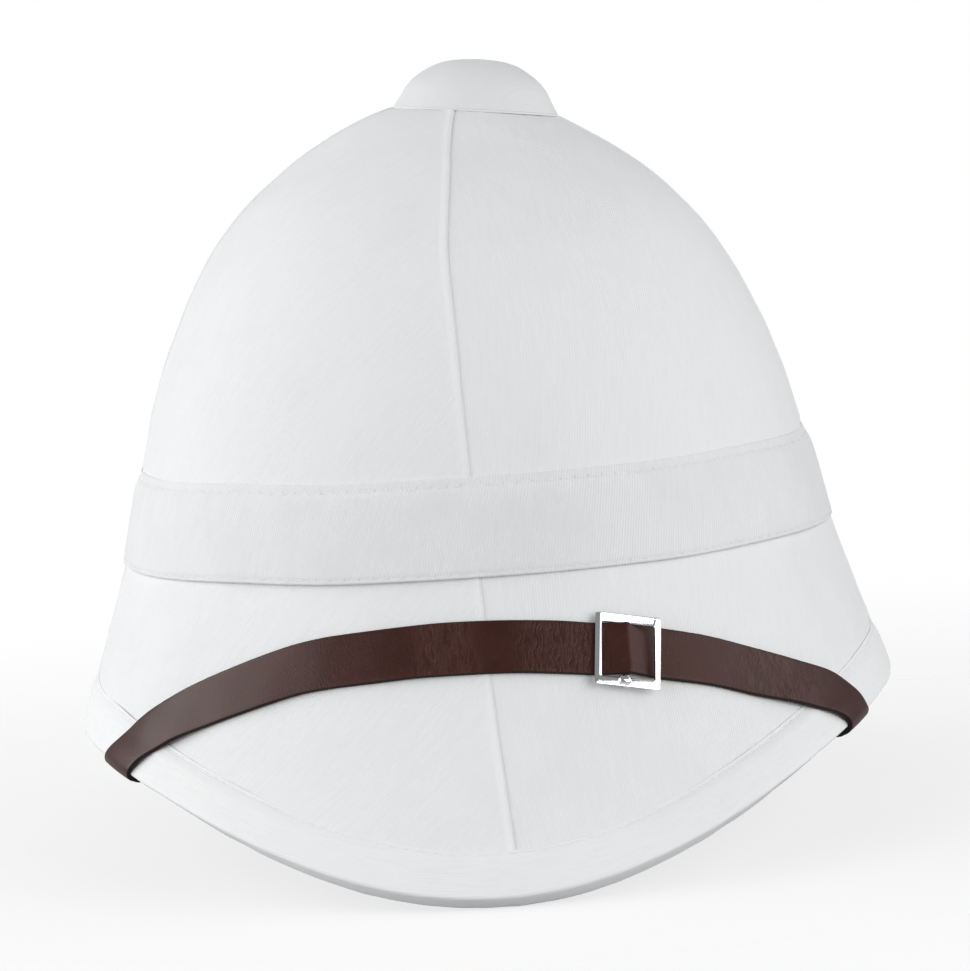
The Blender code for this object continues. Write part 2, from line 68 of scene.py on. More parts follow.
def blend_rows(table: Array, position: Array) -> Array:
    """Columns of a table at fractional rows, on a smooth curve through the rows.

    Args:
        table: Rows of numbers.
        position: Fractional row for each wanted value.

    Returns:
        Array of the shape of position, with one more axis for the table's columns.
    """
    last = len(table) - 1
    index = np.clip(np.floor(position).astype(int), 0, last - 1)
    t = (position - index)[..., None]
    before, start, end, after = (table[np.clip(index + k, 0, last)] for k in (-1, 0, 1, 2))
    return 0.5 * (
        2 * start
        + (end - before) * t
        + (2 * before - 5 * start + 4 * end - after) * t**2
        + (3 * start - before - 3 * end + after) * t**3
    )


def unit(vectors: Array) -> Array:
    """Vectors at length one."""
    return vectors / np.linalg.norm(vectors, axis=-1, keepdims=True)


def ease(low: float, high: float, value: Array) -> Array:
    """Smooth step from 0 at low to 1 at high."""
    t = np.clip((value - low) / (high - low), 0.0, 1.0)
    return t * t * (3 - 2 * t)


def within(low: float, high: float, soft: float, value: Array) -> Array:
    """1 between low and high and 0 outside them, eased over a soft distance to each side."""
    return ease(low - soft, low + soft, value) * (1 - ease(high - soft, high + soft, value))


def bell(value: Array, half_width: float | Array) -> Array:
    """Smooth hump of height one round zero."""
    return np.exp(-((value / half_width) ** 2))


def angle_apart(angles: Array, middle: float) -> Array:
    """Angles from a middle one, between half a turn back and half a turn on."""
    return (angles - middle + math.pi) % (2 * math.pi) - math.pi


@dataclass(frozen=True)
class Ripple:
    """Smooth seeded unevenness of a surface, between about -1 and 1."""

    wavelength: float
    seed: int
    waves: int = 14
    squash: Triple = (1.0, 1.0, 1.0)
    spread: Pair = (0.7, 1.6)

    def __call__(self, points: Array) -> Array:
        """Unevenness at points.

        Args:
            points: Array whose last axis is x, y and z.

        Returns:
            One number for each point.
        """
        rng = np.random.default_rng(self.seed)
        total = np.zeros(points.shape[:-1])
        for _ in range(self.waves):
            direction = unit(rng.normal(size=3)) * np.array(self.squash)
            number = 2 * math.pi / (self.wavelength * rng.uniform(*self.spread))
            total += np.sin(points @ direction * number + rng.uniform(0, 2 * math.pi))
        return total / math.sqrt(self.waves)


# The helmet's form --------------------------------------------------------------------------------


@dataclass(eq=False)
class HelmetForm:
    """Outer faces of crown and brim, and the wall round the brim's edge."""

    gap: float = 0.0003
    wall: float = 0.0044
    crown_table: tuple[Triple, ...] = (
        (0.0000, 0.0000, 0.2142), (0.0100, 0.0100, 0.2136), (0.0200, 0.0202, 0.2116),
        (0.0290, 0.0298, 0.2083), (0.0380, 0.0400, 0.2034), (0.0500, 0.0540, 0.1958),
        (0.0620, 0.0685, 0.1859), (0.0730, 0.0825, 0.1728), (0.0820, 0.0945, 0.1582),
        (0.0897, 0.1050, 0.1415), (0.0955, 0.1130, 0.1244), (0.0991, 0.1178, 0.1102),
        (0.1025, 0.1220, 0.0964), (0.1055, 0.1256, 0.0829),
    )
    band_top_row: float = 11.0
    root_row: float = 13.0
    brim_half_width: float = 0.1206
    right_tuck: float = 0.0010
    tuck_bend: float = 3.0
    peak_reach: float = 0.1760
    rear_reach: float = 0.1840
    edge_foot: float = 0.0047
    side_rise: float = 0.0334
    peak_sweep: float = 3.25
    rear_sweep: float = 2.2
    rear_ease: float = 1.4
    rear_flat: float = math.radians(10.0)
    flare: float = 0.30
    edge_radius: float = 0.0012
    binding_width: float = 0.0125
    binding_thickness: float = 0.0009
    inner_binding_width: float = 0.0105
    angle_step: float = 1e-4
    table_step: float = 1e-3
    dome_rows: Pair = (0.05, 8.0)
    halvings: int = 40

    def __post_init__(self) -> None:
        """Work out the edge's roundings and the crown's centre."""
        self.table = np.array(self.crown_table)
        self.centre_y = (self.peak_reach - self.rear_reach) / 2
        self.edge_flat = self.wall / 2 - self.edge_radius
        self.edge_arc = math.pi / 2 * (self.edge_radius + self.gap + self.binding_thickness)
        self.half_turn = self.edge_flat + self.edge_arc

    def _ellipse(self, angle: Array, half_width: Array, half_length: Array, height: Array) -> Array:
        """Points of level ellipses round the crown's centre."""
        across, along = half_width * np.sin(angle), self.centre_y - half_length * np.cos(angle)
        return np.stack(np.broadcast_arrays(across, along, height), axis=-1)

    def crown(self, angle: Array, row: Array) -> Array:
        """Outer points of the crown at fractional rows of its table."""
        section = blend_rows(self.table, np.asarray(row, float))
        return self._ellipse(angle, section[..., 0], section[..., 1], section[..., 2])

    def edge_height(self, angle: Array) -> Array:
        """Height of the brim's edge line: low at both peaks and high at the sides.

        Args:
            angle: Angles round the helmet.

        Returns:
            Heights, of the same shape.
        """
        forward = np.cos(angle)
        ahead = self.edge_foot + self.side_rise * (1 - np.clip(forward, 0, 1) ** self.peak_sweep)
        backward = np.minimum(1.0, np.clip(-forward, 0, 1) / math.cos(self.rear_flat))
        behind = self.edge_foot + self.side_rise * (1 - backward**self.rear_sweep) ** self.rear_ease
        return np.where(forward >= 0, ahead, behind)

    def brim_section(self, angle: Array, drop: Array) -> ThreeArrays:
        """Level ellipses of the brim.

        Args:
            angle: Angles round the helmet.
            drop: Share of the way down the brim, from 0 at the crown to 1 at the edge.

        Returns:
            Half width, half length and height.
        """
        width, length, height = self.table[-1]
        reach = np.where(np.cos(angle) > 0, self.peak_reach, self.rear_reach)
        to_right = (1 + np.tanh(self.tuck_bend * np.sin(angle))) / 2
        half_width = self.brim_half_width - self.right_tuck * to_right
        spread = drop * (1 - self.flare * np.abs(np.cos(angle)) * (1 - drop))
        return (
            width + (half_width - width) * spread,
            length + (reach - length) * spread,
            height + (self.edge_height(angle) - height) * drop,
        )

    def brim(self, angle: Array, drop: Array) -> Array:
        """Outer points of the brim."""
        return self._ellipse(angle, *self.brim_section(angle, drop))

    def normal(self, surface: Surface, angle: Array, position: Array, step: float) -> Array:
        """Outward unit normals of the crown or the brim."""
        across = surface(angle + step, position) - surface(angle - step, position)
        down = surface(angle, position + step) - surface(angle, position - step)
        return unit(np.cross(down, across))

    def crown_normal(self, angle: Array, row: Array) -> Array:
        """Outward unit normals of the crown."""
        return self.normal(self.crown, angle, row, self.table_step)

    def brim_normal(self, angle: Array, drop: Array) -> Array:
        """Outward unit normals of the brim."""
        return self.normal(self.brim, angle, drop, self.angle_step)

    def drop_at(self, angle: Array, distance: Array, samples: int = 24) -> Array:
        """Drop of the brim's outer points that lie a distance above the edge.

        Args:
            angle: Angles round the helmet.
            distance: Distances up the outer face from the edge, of the same shape.
            samples: Steps of the measured line.

        Returns:
            Drops, of the same shape.
        """
        drops = 1 - np.arange(samples + 1) / samples
        line = self.brim(angle[..., None], drops)
        steps = np.linalg.norm(np.diff(line, axis=-2), axis=-1)
        start_length = np.zeros_like(steps[..., :1])
        lengths = np.concatenate([start_length, np.cumsum(steps, axis=-1)], axis=-1)
        index = np.sum(lengths[..., 1:-1] < distance[..., None], axis=-1)[..., None]
        start = np.take_along_axis(lengths, index, -1)[..., 0]
        end = np.take_along_axis(lengths, index + 1, -1)[..., 0]
        return 1 - (index[..., 0] + (distance - start) / (end - start)) / samples

    def edge_down(self, angle: Array) -> Array:
        """Unit vectors down the wall at the edge, square to the edge line."""
        edge, step = np.ones_like(angle), self.angle_step
        along = self.brim(angle + step, edge) - self.brim(angle - step, edge)
        return unit(np.cross(along, self.brim_normal(angle, edge)))

    def skin(self, angle: Array, run: Array, lift: Array) -> Array:
        """Points off the brim's wall.

        Args:
            angle: Angles round the helmet.
            run: Distance round the wall's section from the middle of the edge, negative inside.
            lift: Distance off the wall.

        Returns:
            Points, on the broadcast shape of the three.
        """
        angle, run, lift = np.broadcast_arrays(*(np.asarray(x, float) for x in (angle, run, lift)))
        side = np.where(run >= 0, 1.0, -1.0)[..., None]
        beyond = np.maximum(0.0, np.abs(run) - self.half_turn)
        drop = self.drop_at(angle, beyond)
        normal = self.brim_normal(angle, drop)
        middle = self.brim(angle, drop) - normal * self.wall / 2
        face = middle + normal * side * (self.wall / 2 + lift)[..., None]
        turn = np.maximum(0.0, np.abs(run) - self.edge_flat) / self.edge_arc * math.pi / 2
        turn = np.minimum(turn, math.pi / 2)
        across = np.minimum(np.abs(run), self.edge_flat) + (self.edge_radius + lift) * np.sin(turn)
        down = ((self.edge_radius + lift) * np.cos(turn))[..., None] * self.edge_down(angle)
        edge = middle + down + normal * side * across[..., None]
        return np.where((beyond > 0)[..., None], face, edge)

    def dome(self, x: Array, y: Array) -> TwoArrays:
        """Find points of the dome above places on the floor plan, by halving the rows between two.

        Args:
            x: Places to the right.
            y: Places to the rear.

        Returns:
            Angle and crown row of each point.
        """
        low, high = (np.full(x.shape, row) for row in self.dome_rows)
        for _ in range(self.halvings):
            middle = (low + high) / 2
            section = blend_rows(self.table, middle)
            outside = (x / section[..., 0]) ** 2 + ((y - self.centre_y) / section[..., 1]) ** 2 > 1
            low, high = np.where(outside, middle, low), np.where(outside, high, middle)
        section = blend_rows(self.table, low)
        return np.arctan2(x / section[..., 0], (self.centre_y - y) / section[..., 1]), low


# Meshes -------------------------------------------------------------------------------------------


@dataclass
class Grid:
    """Sheet of quads: rows run from the top down and columns to the right, seen from outside."""

    points: Array
    wrap_rows: bool = False
    wrap_columns: bool = True
    first_pole: Sequence[float] | None = None
    last_pole: Sequence[float] | None = None
    maps: dict[str, TwoArrays] = field(default_factory=dict)

    def add_map(self, name: str, start: Array, end: Array | None = None) -> None:
        """Keep a UV map.

        Args:
            name: Name of the map.
            start: Values at each column's start, of rows by columns by 2. A grid that wraps has one
                more row, and one more column where no end is given.
            end: Values at each column's end, where neighbouring columns don't share theirs.
        """
        if end is None:
            start, end = start[:, :-1], start[:, 1:]
        self.maps[name] = (start, end)

    def quads(self) -> Array:
        """Corner indices of the quads, row by row."""
        rows, columns = self.points.shape[:2]
        index = np.arange(rows * columns).reshape(rows, columns)
        if self.wrap_rows:
            index = np.concatenate([index, index[:1]], axis=0)
        if self.wrap_columns:
            index = np.concatenate([index, index[:, :1]], axis=1)
        corners = [index[:-1, 1:], index[:-1, :-1], index[1:, :-1], index[1:, 1:]]
        return np.stack(corners, axis=-1).reshape(-1, 4)

    def build(self, name: str, sharp_angle: float = 50.0, caps: bool = False) -> Object:
        """Make the mesh and its object.

        Args:
            name: Name of the piece.
            sharp_angle: Edges sharper than this many degrees stay sharp.
            caps: Whether the first and last columns are closed by a face, as a strap's ends are.

        Returns:
            The new object, at the origin.
        """
        rows, columns = self.points.shape[:2]
        vertices = self.points.reshape(-1, 3)
        faces = self.quads().tolist()
        count = len(faces)
        if caps:
            ring = (np.arange(rows) * columns).tolist()
            faces += [ring, [i + columns - 1 for i in reversed(ring)]]
        for pole, ring in ((self.first_pole, 0), (self.last_pole, rows - 1)):
            if pole is None:
                continue
            vertices = np.vstack([vertices, pole])
            tip = len(vertices) - 1
            for c in range(columns):
                near, far = ring * columns + c, ring * columns + (c + 1) % columns
                faces.append([tip, near, far] if ring == 0 else [far, near, tip])
        item = add_mesh(name, vertices, faces, sharp_angle=sharp_angle)
        for map_name, (start, end) in self.maps.items():
            corners = np.stack([end[:-1], start[:-1], start[1:], end[1:]], axis=2).reshape(-1, 2)
            values = np.zeros((len(item.data.loops), 2), np.float32)
            values[: count * 4] = corners
            item.data.uv_layers.new(name=map_name).data.foreach_set("uv", values.ravel())
        return item


def add_mesh(
    name: str, vertices: Array, faces: Sequence = (), edges: Sequence = (), sharp_angle: float = 0.0
) -> Object:
    """Put an object with a new mesh in the scene.

    Args:
        name: Name of both.
        vertices: Points.
        faces: Corner indices of each face.
        edges: Indices of the ends of each edge that belongs to no face.
        sharp_angle: Edges sharper than this many degrees stay sharp and the rest is smooth; 0 for flat.

    Returns:
        The new object, at the origin.
    """
    mesh = bpy.data.meshes.new(name)
    mesh.from_pydata(np.asarray(vertices).tolist(), edges, faces)
    if sharp_angle:
        mesh.shade_smooth()
        mesh.set_sharp_from_angle(angle=math.radians(sharp_angle))
    return add_item(name, mesh)


def add_item(name: str, data: ID) -> Object:
    """Object for a mesh, light or camera, in the scene."""
    item = bpy.data.objects.new(name, data)
    bpy.context.scene.collection.objects.link(item)
    return item


def full_turn(count: int) -> Array:
    """Evenly spaced angles once round."""
    return 2 * math.pi * np.arange(count) / count


def placed(points: Array, place: Matrix) -> Array:
    """Points of a local frame, in the helmet's frame."""
    turn = np.array(place.to_3x3())
    return points @ turn.T + np.array(place.translation)


def turned(profile: Array, place: Matrix, segments: int) -> tuple[Grid, Array]:
    """Solid turned about the third axis of a frame.

    Args:
        profile: Radii and heights that run down the outside, from the axis to the axis.
        place: Frame of the axis.
        segments: Divisions round the axis.

    Returns:
        The grid, and the angles of its columns with the first one repeated.
    """
    angles = full_turn(segments)
    rings = profile[1:-1]
    across = rings[:, :1] * np.sin(angles)
    along = -rings[:, :1] * np.cos(angles)
    height = np.broadcast_to(rings[:, 1:], across.shape)
    grid = Grid(placed(np.stack([across, along, height], axis=-1), place))
    grid.first_pole = placed(np.array([0, 0, profile[0, 1]]), place)
    grid.last_pole = placed(np.array([0, 0, profile[-1, 1]]), place)
    return grid, np.append(angles, 2 * math.pi)


def row_lengths(points: Array) -> Array:
    """Distance along each row of a grid, from its first column, with the way back to it at the end."""
    steps = np.linalg.norm(np.diff(points, axis=1, append=points[:, :1]), axis=-1)
    return np.concatenate([np.zeros((len(points), 1)), np.cumsum(steps, axis=1)], axis=1)


def column_lengths(points: Array) -> Array:
    """Distance down one column of points."""
    steps = np.linalg.norm(np.diff(points, axis=0), axis=-1)
    return np.concatenate([[0.0], np.cumsum(steps)])


def rotated(u: Array, v: Array, degrees: float) -> Array:
    """UV values turned to the lines of a cloth.

    Args:
        u: Distance across the cloth's piece.
        v: Distance up it.
        degrees: Angle at which the cloth's lines rise from the first distance.

    Returns:
        Distance across the lines and along them, on a last axis.
    """
    turn = math.radians(degrees)
    along = u * math.cos(turn) + v * math.sin(turn)
    across = v * math.cos(turn) - u * math.sin(turn)
    return np.stack(np.broadcast_arrays(across, along), axis=-1)


# Materials ----------------------------------------------------------------------------------------


class Amount:
    """A number that varies over a surface: a socket on which Python's arithmetic adds Math nodes."""

    def __init__(self, bench: "NodeBench", socket: NodeSocket) -> None:
        """Keep the socket and the bench that its nodes stand on."""
        self.bench = bench
        self.socket = socket

    def _math(self, operation: str, *values: Any) -> "Amount":
        """Result of a Math node on this and other values."""
        node = self.bench.node("ShaderNodeMath", {"operation": operation}, dict(enumerate(values)))
        return Amount(self.bench, node.outputs[0])

    def __add__(self, other: Any) -> "Amount":
        """Sum."""
        return self._math("ADD", self, other)

    __radd__ = __add__

    def __sub__(self, other: Any) -> "Amount":
        """Difference."""
        return self._math("SUBTRACT", self, other)

    def __rsub__(self, other: Any) -> "Amount":
        """Difference from a value on the left."""
        return self._math("SUBTRACT", other, self)

    def __mul__(self, other: Any) -> "Amount":
        """Product."""
        return self._math("MULTIPLY", self, other)

    __rmul__ = __mul__

    def __pow__(self, other: Any) -> "Amount":
        """Power."""
        return self._math("POWER", self, other)

    def sine(self) -> "Amount":
        """Sine."""
        return self._math("SINE", self)

    def size(self) -> "Amount":
        """Absolute value."""
        return self._math("ABSOLUTE", self)

    def at_least(self, other: Any) -> "Amount":
        """Larger of two values."""
        return self._math("MAXIMUM", self, other)

    def at_most(self, other: Any) -> "Amount":
        """Smaller of two values."""
        return self._math("MINIMUM", self, other)

    def swing(self, period: float) -> "Amount":
        """Distance from the nearest whole multiple of a period."""
        return self._math("PINGPONG", self, period / 2)

    def eased(self, low: float, high: float) -> "Amount":
        """Smooth step.

        Args:
            low: Value at which it is 0; it may be the larger of the two.
            high: Value at which it is 1.

        Returns:
            The step, from 0 to 1.
        """
        turned_round = low > high
        low, high = min(low, high), max(low, high)
        node = self.bench.node(
            "ShaderNodeMapRange",
            {"interpolation_type": "SMOOTHSTEP"},
            {"Value": self, "From Min": low, "From Max": high},
        )
        result = Amount(self.bench, node.outputs[0])
        return 1 - result if turned_round else result


class NodeBench:
    """Builds the nodes of one tree."""

    def __init__(self, tree: NodeTree) -> None:
        """Start from an empty tree."""
        self.tree = tree
        tree.nodes.clear()

    def node(
        self,
        kind: str,
        settings: Mapping[str, Any] | None = None,
        sockets: Mapping[Any, Any] | None = None,
    ) -> Node:
        """Add a node.

        Args:
            kind: Blender's type name of the node.
            settings: The node's own settings, made first.
            sockets: Values or links of its input sockets, by name or number.

        Returns:
            The new node.
        """
        made = self.tree.nodes.new(kind)
        for name, value in (settings or {}).items():
            setattr(made, name, value)
        for name, value in (sockets or {}).items():
            if isinstance(value, Amount):
                value = value.socket
            if isinstance(value, NodeSocket):
                self.tree.links.new(value, made.inputs[name])
            else:
                made.inputs[name].default_value = value
        return made

    def place(self) -> NodeSocket:
        """Object coordinates."""
        return self.node("ShaderNodeTexCoord").outputs["Object"]

    def uv(self, name: str) -> tuple[Amount, Amount]:
        """Both numbers of a UV map."""
        vector = self.node("ShaderNodeUVMap", {"uv_map": name}).outputs[0]
        split = self.node("ShaderNodeSeparateXYZ", None, {0: vector})
        return Amount(self, split.outputs[0]), Amount(self, split.outputs[1])

    def joined(self, *numbers: Any) -> NodeSocket:
        """Vector from two or three numbers."""
        return self.node("ShaderNodeCombineXYZ", None, dict(enumerate(numbers))).outputs[0]

    def noise(
        self, vector: NodeSocket, scale: float, detail: float = 2.0, roughness: float = 0.5
    ) -> Amount:
        """Soft noise, mostly between 0.3 and 0.7.

        Args:
            vector: Coordinates that it lies on.
            scale: Its cells to one unit of them.
            detail: Number of finer octaves.
            roughness: Share that each finer octave keeps.

        Returns:
            The noise.
        """
        sockets = {"Vector": vector, "Scale": scale, "Detail": detail, "Roughness": roughness}
        return Amount(self, self.node("ShaderNodeTexNoise", None, sockets).outputs[0])

    def cells(self, vector: NodeSocket, scale: float) -> Amount:
        """Distance to the nearest point of a cell pattern."""
        node = self.node("ShaderNodeTexVoronoi", None, {"Vector": vector, "Scale": scale})
        return Amount(self, node.outputs["Distance"])

    def mixed(self, factor: Any, first: Any, second: Any) -> NodeSocket:
        """Colour between two colours."""
        colours = [(*c, 1.0) if isinstance(c, tuple) and len(c) == 3 else c for c in (first, second)]
        sockets = {0: factor, 6: colours[0], 7: colours[1]}
        return self.node("ShaderNodeMix", {"data_type": "RGBA"}, sockets).outputs[2]

    def bump(self, height: Amount, distance: float, strength: float = 1.0) -> NodeSocket:
        """Normal bent by a height from 0 to 1, of a relief in metres."""
        sockets = {"Height": height, "Distance": distance, "Strength": strength}
        return self.node("ShaderNodeBump", None, sockets).outputs[0]

    def surface(self, sockets: Mapping[str, Any]) -> None:
        """Principled shader, joined to the material's output."""
        shader = self.node("ShaderNodeBsdfPrincipled", None, sockets)
        self.node("ShaderNodeOutputMaterial", None, {"Surface": shader.outputs[0]})


def new_material(name: str) -> tuple[Material, NodeBench]:
    """Material and the bench for its nodes."""
    material = bpy.data.materials.new(name)
    material.use_nodes = True
    return material, NodeBench(material.node_tree)


class Weave(Enum):
    """How the threads of a cloth lie."""

    TWILL = "twill"
    RIB = "rib"


class Marks(Enum):
    """What the UV map named stitch places on a cloth."""

    NONE = "none"
    NEEDLE = "needle"
    # Painted highlight on a seam's ridge and painted shadow in the groove beside it.
    SEAM = "seam"


@dataclass(frozen=True)
class Cloth:
    """White cotton cloth on a UV map named weave, with needle or seam marks on a UV map named stitch."""

    name: str
    weave: Weave = Weave.TWILL
    light: Triple = (0.835, 0.838, 0.842)
    dark: Triple = (0.715, 0.722, 0.730)
    pitch: float = 0.76 * MM
    thread: float = 0.36 * MM
    relief: float = 0.11 * MM
    line_shade: float = 0.50
    stitch_pitch: float = 5.0 * MM
    hole: float = 0.45 * MM
    needle_shade: float = 0.40
    marks: Marks = Marks.NEEDLE

    def material(self) -> Material:
        """Material with weave, slubs, faint soiling and marks; its colour holds painted shade in the
        weave's grooves and needle holes, and a painted highlight and shadow at the seams.
        """
        material, bench = new_material(self.name)
        across, along = bench.uv("weave")
        place = bench.place()
        drift = bench.noise(place, 160.0, 3.0) - 0.5
        wander = across + drift * (0.55 * self.pitch)
        lines = (wander * (2 * math.pi / self.pitch)).sine() * 0.5 + 0.5
        crossing = along * (2 * math.pi / self.thread) + across * (math.pi / self.pitch)
        floats = crossing.sine() * 0.5 + 0.5
        weight = 0.75 if self.weave is Weave.TWILL else 0.9
        patches = bench.noise(place, 55.0, 3.0, 0.6).eased(0.32, 0.66) * 0.75 + 0.25
        slubs = bench.noise(bench.joined(across * 900.0, along * 90.0), 1.0, 2.0)
        height = lines * patches * weight + floats * (1 - weight) + slubs * 0.35
        # Painted shade: the colour darkens in the grooves between the weave's raised lines; the slubs
        # add random tone.
        groove_shade_and_slubs = (1 - lines * patches) * self.line_shade + (slubs - 0.5) * 0.5
        soiling = bench.noise(place, 18.0, 4.0, 0.6).eased(0.45, 0.75) * 0.22
        shade = groove_shade_and_slubs + soiling
        if self.marks is not Marks.NONE:
            off_row, count = bench.uv("stitch")
        if self.marks is Marks.NEEDLE:
            step = count.swing(1.0) * self.stitch_pitch
            holes = ((off_row * off_row + step * step) ** 0.5).eased(self.hole, 0.0)
            pull = off_row.size().eased(1.1 * MM, 0.0)
            height = height - holes * 1.6 - pull * 0.5
            # Painted shade in the needle holes and along the pulled-in row of stitches.
            shade = shade + holes * self.needle_shade + pull * 0.05
        if self.marks is Marks.SEAM:
            # Painted highlight on the seam's ridge and painted shadow in the groove just past it.
            ridge_highlight = off_row.eased(-2.2 * MM, -0.9 * MM) * off_row.eased(0.3 * MM, 0.0)
            groove_shadow = (off_row - 0.95 * MM).size().eased(0.95 * MM, 0.15 * MM)
            shade = shade * (1 - ridge_highlight * 0.9) + groove_shadow * 0.5
        colour = bench.mixed(shade.at_most(1.0).at_least(0.0), self.light, self.dark)
        bench.surface(
            {
                "Base Color": colour,
                "Roughness": 0.88 - lines * 0.06,
                "Normal": bench.bump(height, self.relief),
                "Specular IOR Level": 0.25,
                "Sheen Weight": 0.10,
                "Sheen Roughness": 0.5,
            }
        )
        return material


@dataclass(frozen=True)
class Thread:
    """White sewing thread."""

    name: str = "sewing_thread"
    light: Triple = (0.84, 0.85, 0.86)
    dark: Triple = (0.70, 0.71, 0.73)
    relief: float = 0.05 * MM

    def material(self) -> Material:
        """Material with the thread's ply."""
        material, bench = new_material(self.name)
        ply = bench.noise(bench.place(), 2600.0, 1.0)
        colour = bench.mixed(ply.eased(0.3, 0.7), self.dark, self.light)
        normal = bench.bump(ply, self.relief)
        bench.surface({"Base Color": colour, "Roughness": 0.7 + ply * 0.2, "Normal": normal})
        return material


@dataclass(frozen=True)
class Leather:
    """Brown leather on a UV map named strap: along it, and round its section from the face's middle."""

    name: str = "brown_leather"
    deep: Triple = (0.038, 0.011, 0.008)
    warm: Triple = (0.048, 0.014, 0.011)
    worn: Triple = (0.095, 0.045, 0.036)
    edge: Triple = (0.016, 0.009, 0.008)
    flesh: Triple = (0.12, 0.075, 0.055)
    face_edge: float = 7.6 * MM
    back_edge: float = 8.9 * MM
    relief: float = 0.06 * MM
    creased: tuple[Pair, ...] = ((0.185, 0.012), (0.216, 0.018), (0.283, 0.022))

    def material(self) -> Material:
        """Material with grain, pores, cross creases, dark cut edges and a rough back."""
        material, bench = new_material(self.name)
        along, round_section = bench.uv("strap")
        place = bench.place()
        side = round_section.size()
        grain = bench.cells(place, 1500.0).eased(0.0, 0.75)
        pores = bench.cells(place, 620.0).eased(0.22, 0.05)
        wander = (bench.noise(place, 240.0, 2.0) - 0.5) * 0.0035
        stretched = bench.joined((along + wander) * 1150.0, round_section * 130.0)
        wrinkle = bench.noise(stretched, 1.0, 3.0, 0.6)
        patches = None
        for middle, reach in self.creased:
            patch = (along - middle).size().eased(reach, reach * 0.35)
            patches = patch if patches is None else patches.at_least(patch)
        creases = wrinkle.eased(0.38, 0.62) * (patches * 0.9 + 0.10)
        broad = bench.noise(place, 60.0, 3.0, 0.6)
        rubbed = bench.joined(along * 420.0, round_section * 420.0)
        wear = bench.noise(rubbed, 1.0, 3.0).eased(0.55, 0.75)
        colour = bench.mixed(broad.eased(0.35, 0.68), self.deep, self.warm)
        colour = bench.mixed((wear * 0.14 + creases * 0.30).at_most(1.0), colour, self.worn)
        colour = bench.mixed(pores * 0.5, colour, self.deep)
        cut = side.eased(self.face_edge - 0.35 * MM, self.face_edge + 0.1 * MM)
        back = side.eased(self.back_edge - 0.3 * MM, self.back_edge + 0.2 * MM)
        colour = bench.mixed(cut, colour, self.edge)
        nap = bench.noise(place, 900.0, 3.0, 0.7)
        colour = bench.mixed(back, colour, bench.mixed(nap, self.edge, self.flesh))
        rough = 0.28 + broad * 0.06 + cut * 0.45 + back * 0.30
        height = grain * 0.35 - pores * 0.35 + creases * 1.1 + (cut + back).at_most(1.0) * nap * 1.5
        bench.surface(
            {
                "Base Color": colour,
                "Roughness": rough.at_most(0.95),
                "Normal": bench.bump(height, self.relief),
                "Specular IOR Level": 0.27,
                "Specular Tint": (1.0, 0.90, 0.85, 1.0),
            }
        )
        return material


@dataclass(frozen=True)
class Metal:
    """Plated or bare metal with smudges, fine scratches and a little tarnish in patches."""

    name: str
    bright: Triple = (0.86, 0.86, 0.88)
    dull: Triple = (0.55, 0.54, 0.53)
    polish: float = 0.07
    tarnish: float = 0.18
    relief: float = 0.01 * MM
    stretch: Triple = (2600.0, 260.0, 900.0)

    def material(self) -> Material:
        """Material of the metal."""
        material, bench = new_material(self.name)
        place = bench.place()
        smudge = bench.noise(place, 380.0, 4.0, 0.65)
        stretched = bench.node("ShaderNodeMapping", None, {"Vector": place, "Scale": self.stretch})
        scratch = bench.noise(stretched.outputs[0], 1.0, 1.0)
        worn = smudge.eased(0.5, 0.75) * self.tarnish
        bench.surface(
            {
                "Base Color": bench.mixed(worn, self.bright, self.dull),
                "Metallic": 1.0,
                "Roughness": smudge.eased(0.4, 0.85) * 0.14 + (self.polish + scratch * 0.04),
                "Normal": bench.bump(scratch + smudge, self.relief, 0.4),
            }
        )
        return material


@dataclass(frozen=True)
class PaleFloor:
    """Pale floor that fades into the backdrop with the distance from its middle."""

    name: str = "pale_floor"
    colour: Triple = (0.93, 0.93, 0.93)
    second: Triple = (0.90, 0.90, 0.91)
    near: float = 0.20
    far: float = 0.60
    faint: float = 0.72

    def material(self) -> Material:
        """Material of the floor."""
        material, bench = new_material(self.name)
        place = bench.place()
        away = bench.node("ShaderNodeVectorMath", {"operation": "LENGTH"}, {0: place}).outputs["Value"]
        mottle = bench.noise(place, 30.0, 3.0)
        tint = bench.mixed(mottle * 0.1, self.colour, self.second)
        paint = bench.node("ShaderNodeBsdfDiffuse", None, {"Color": tint}).outputs[0]
        clear = bench.node("ShaderNodeBsdfTransparent").outputs[0]
        fade = Amount(bench, away).eased(self.near, self.far) * (1 - self.faint) + self.faint
        mix = bench.node("ShaderNodeMixShader", None, {0: fade, 1: paint, 2: clear})
        bench.node("ShaderNodeOutputMaterial", None, {"Surface": mix.outputs[0]})
        return material


# Stitches -----------------------------------------------------------------------------------------


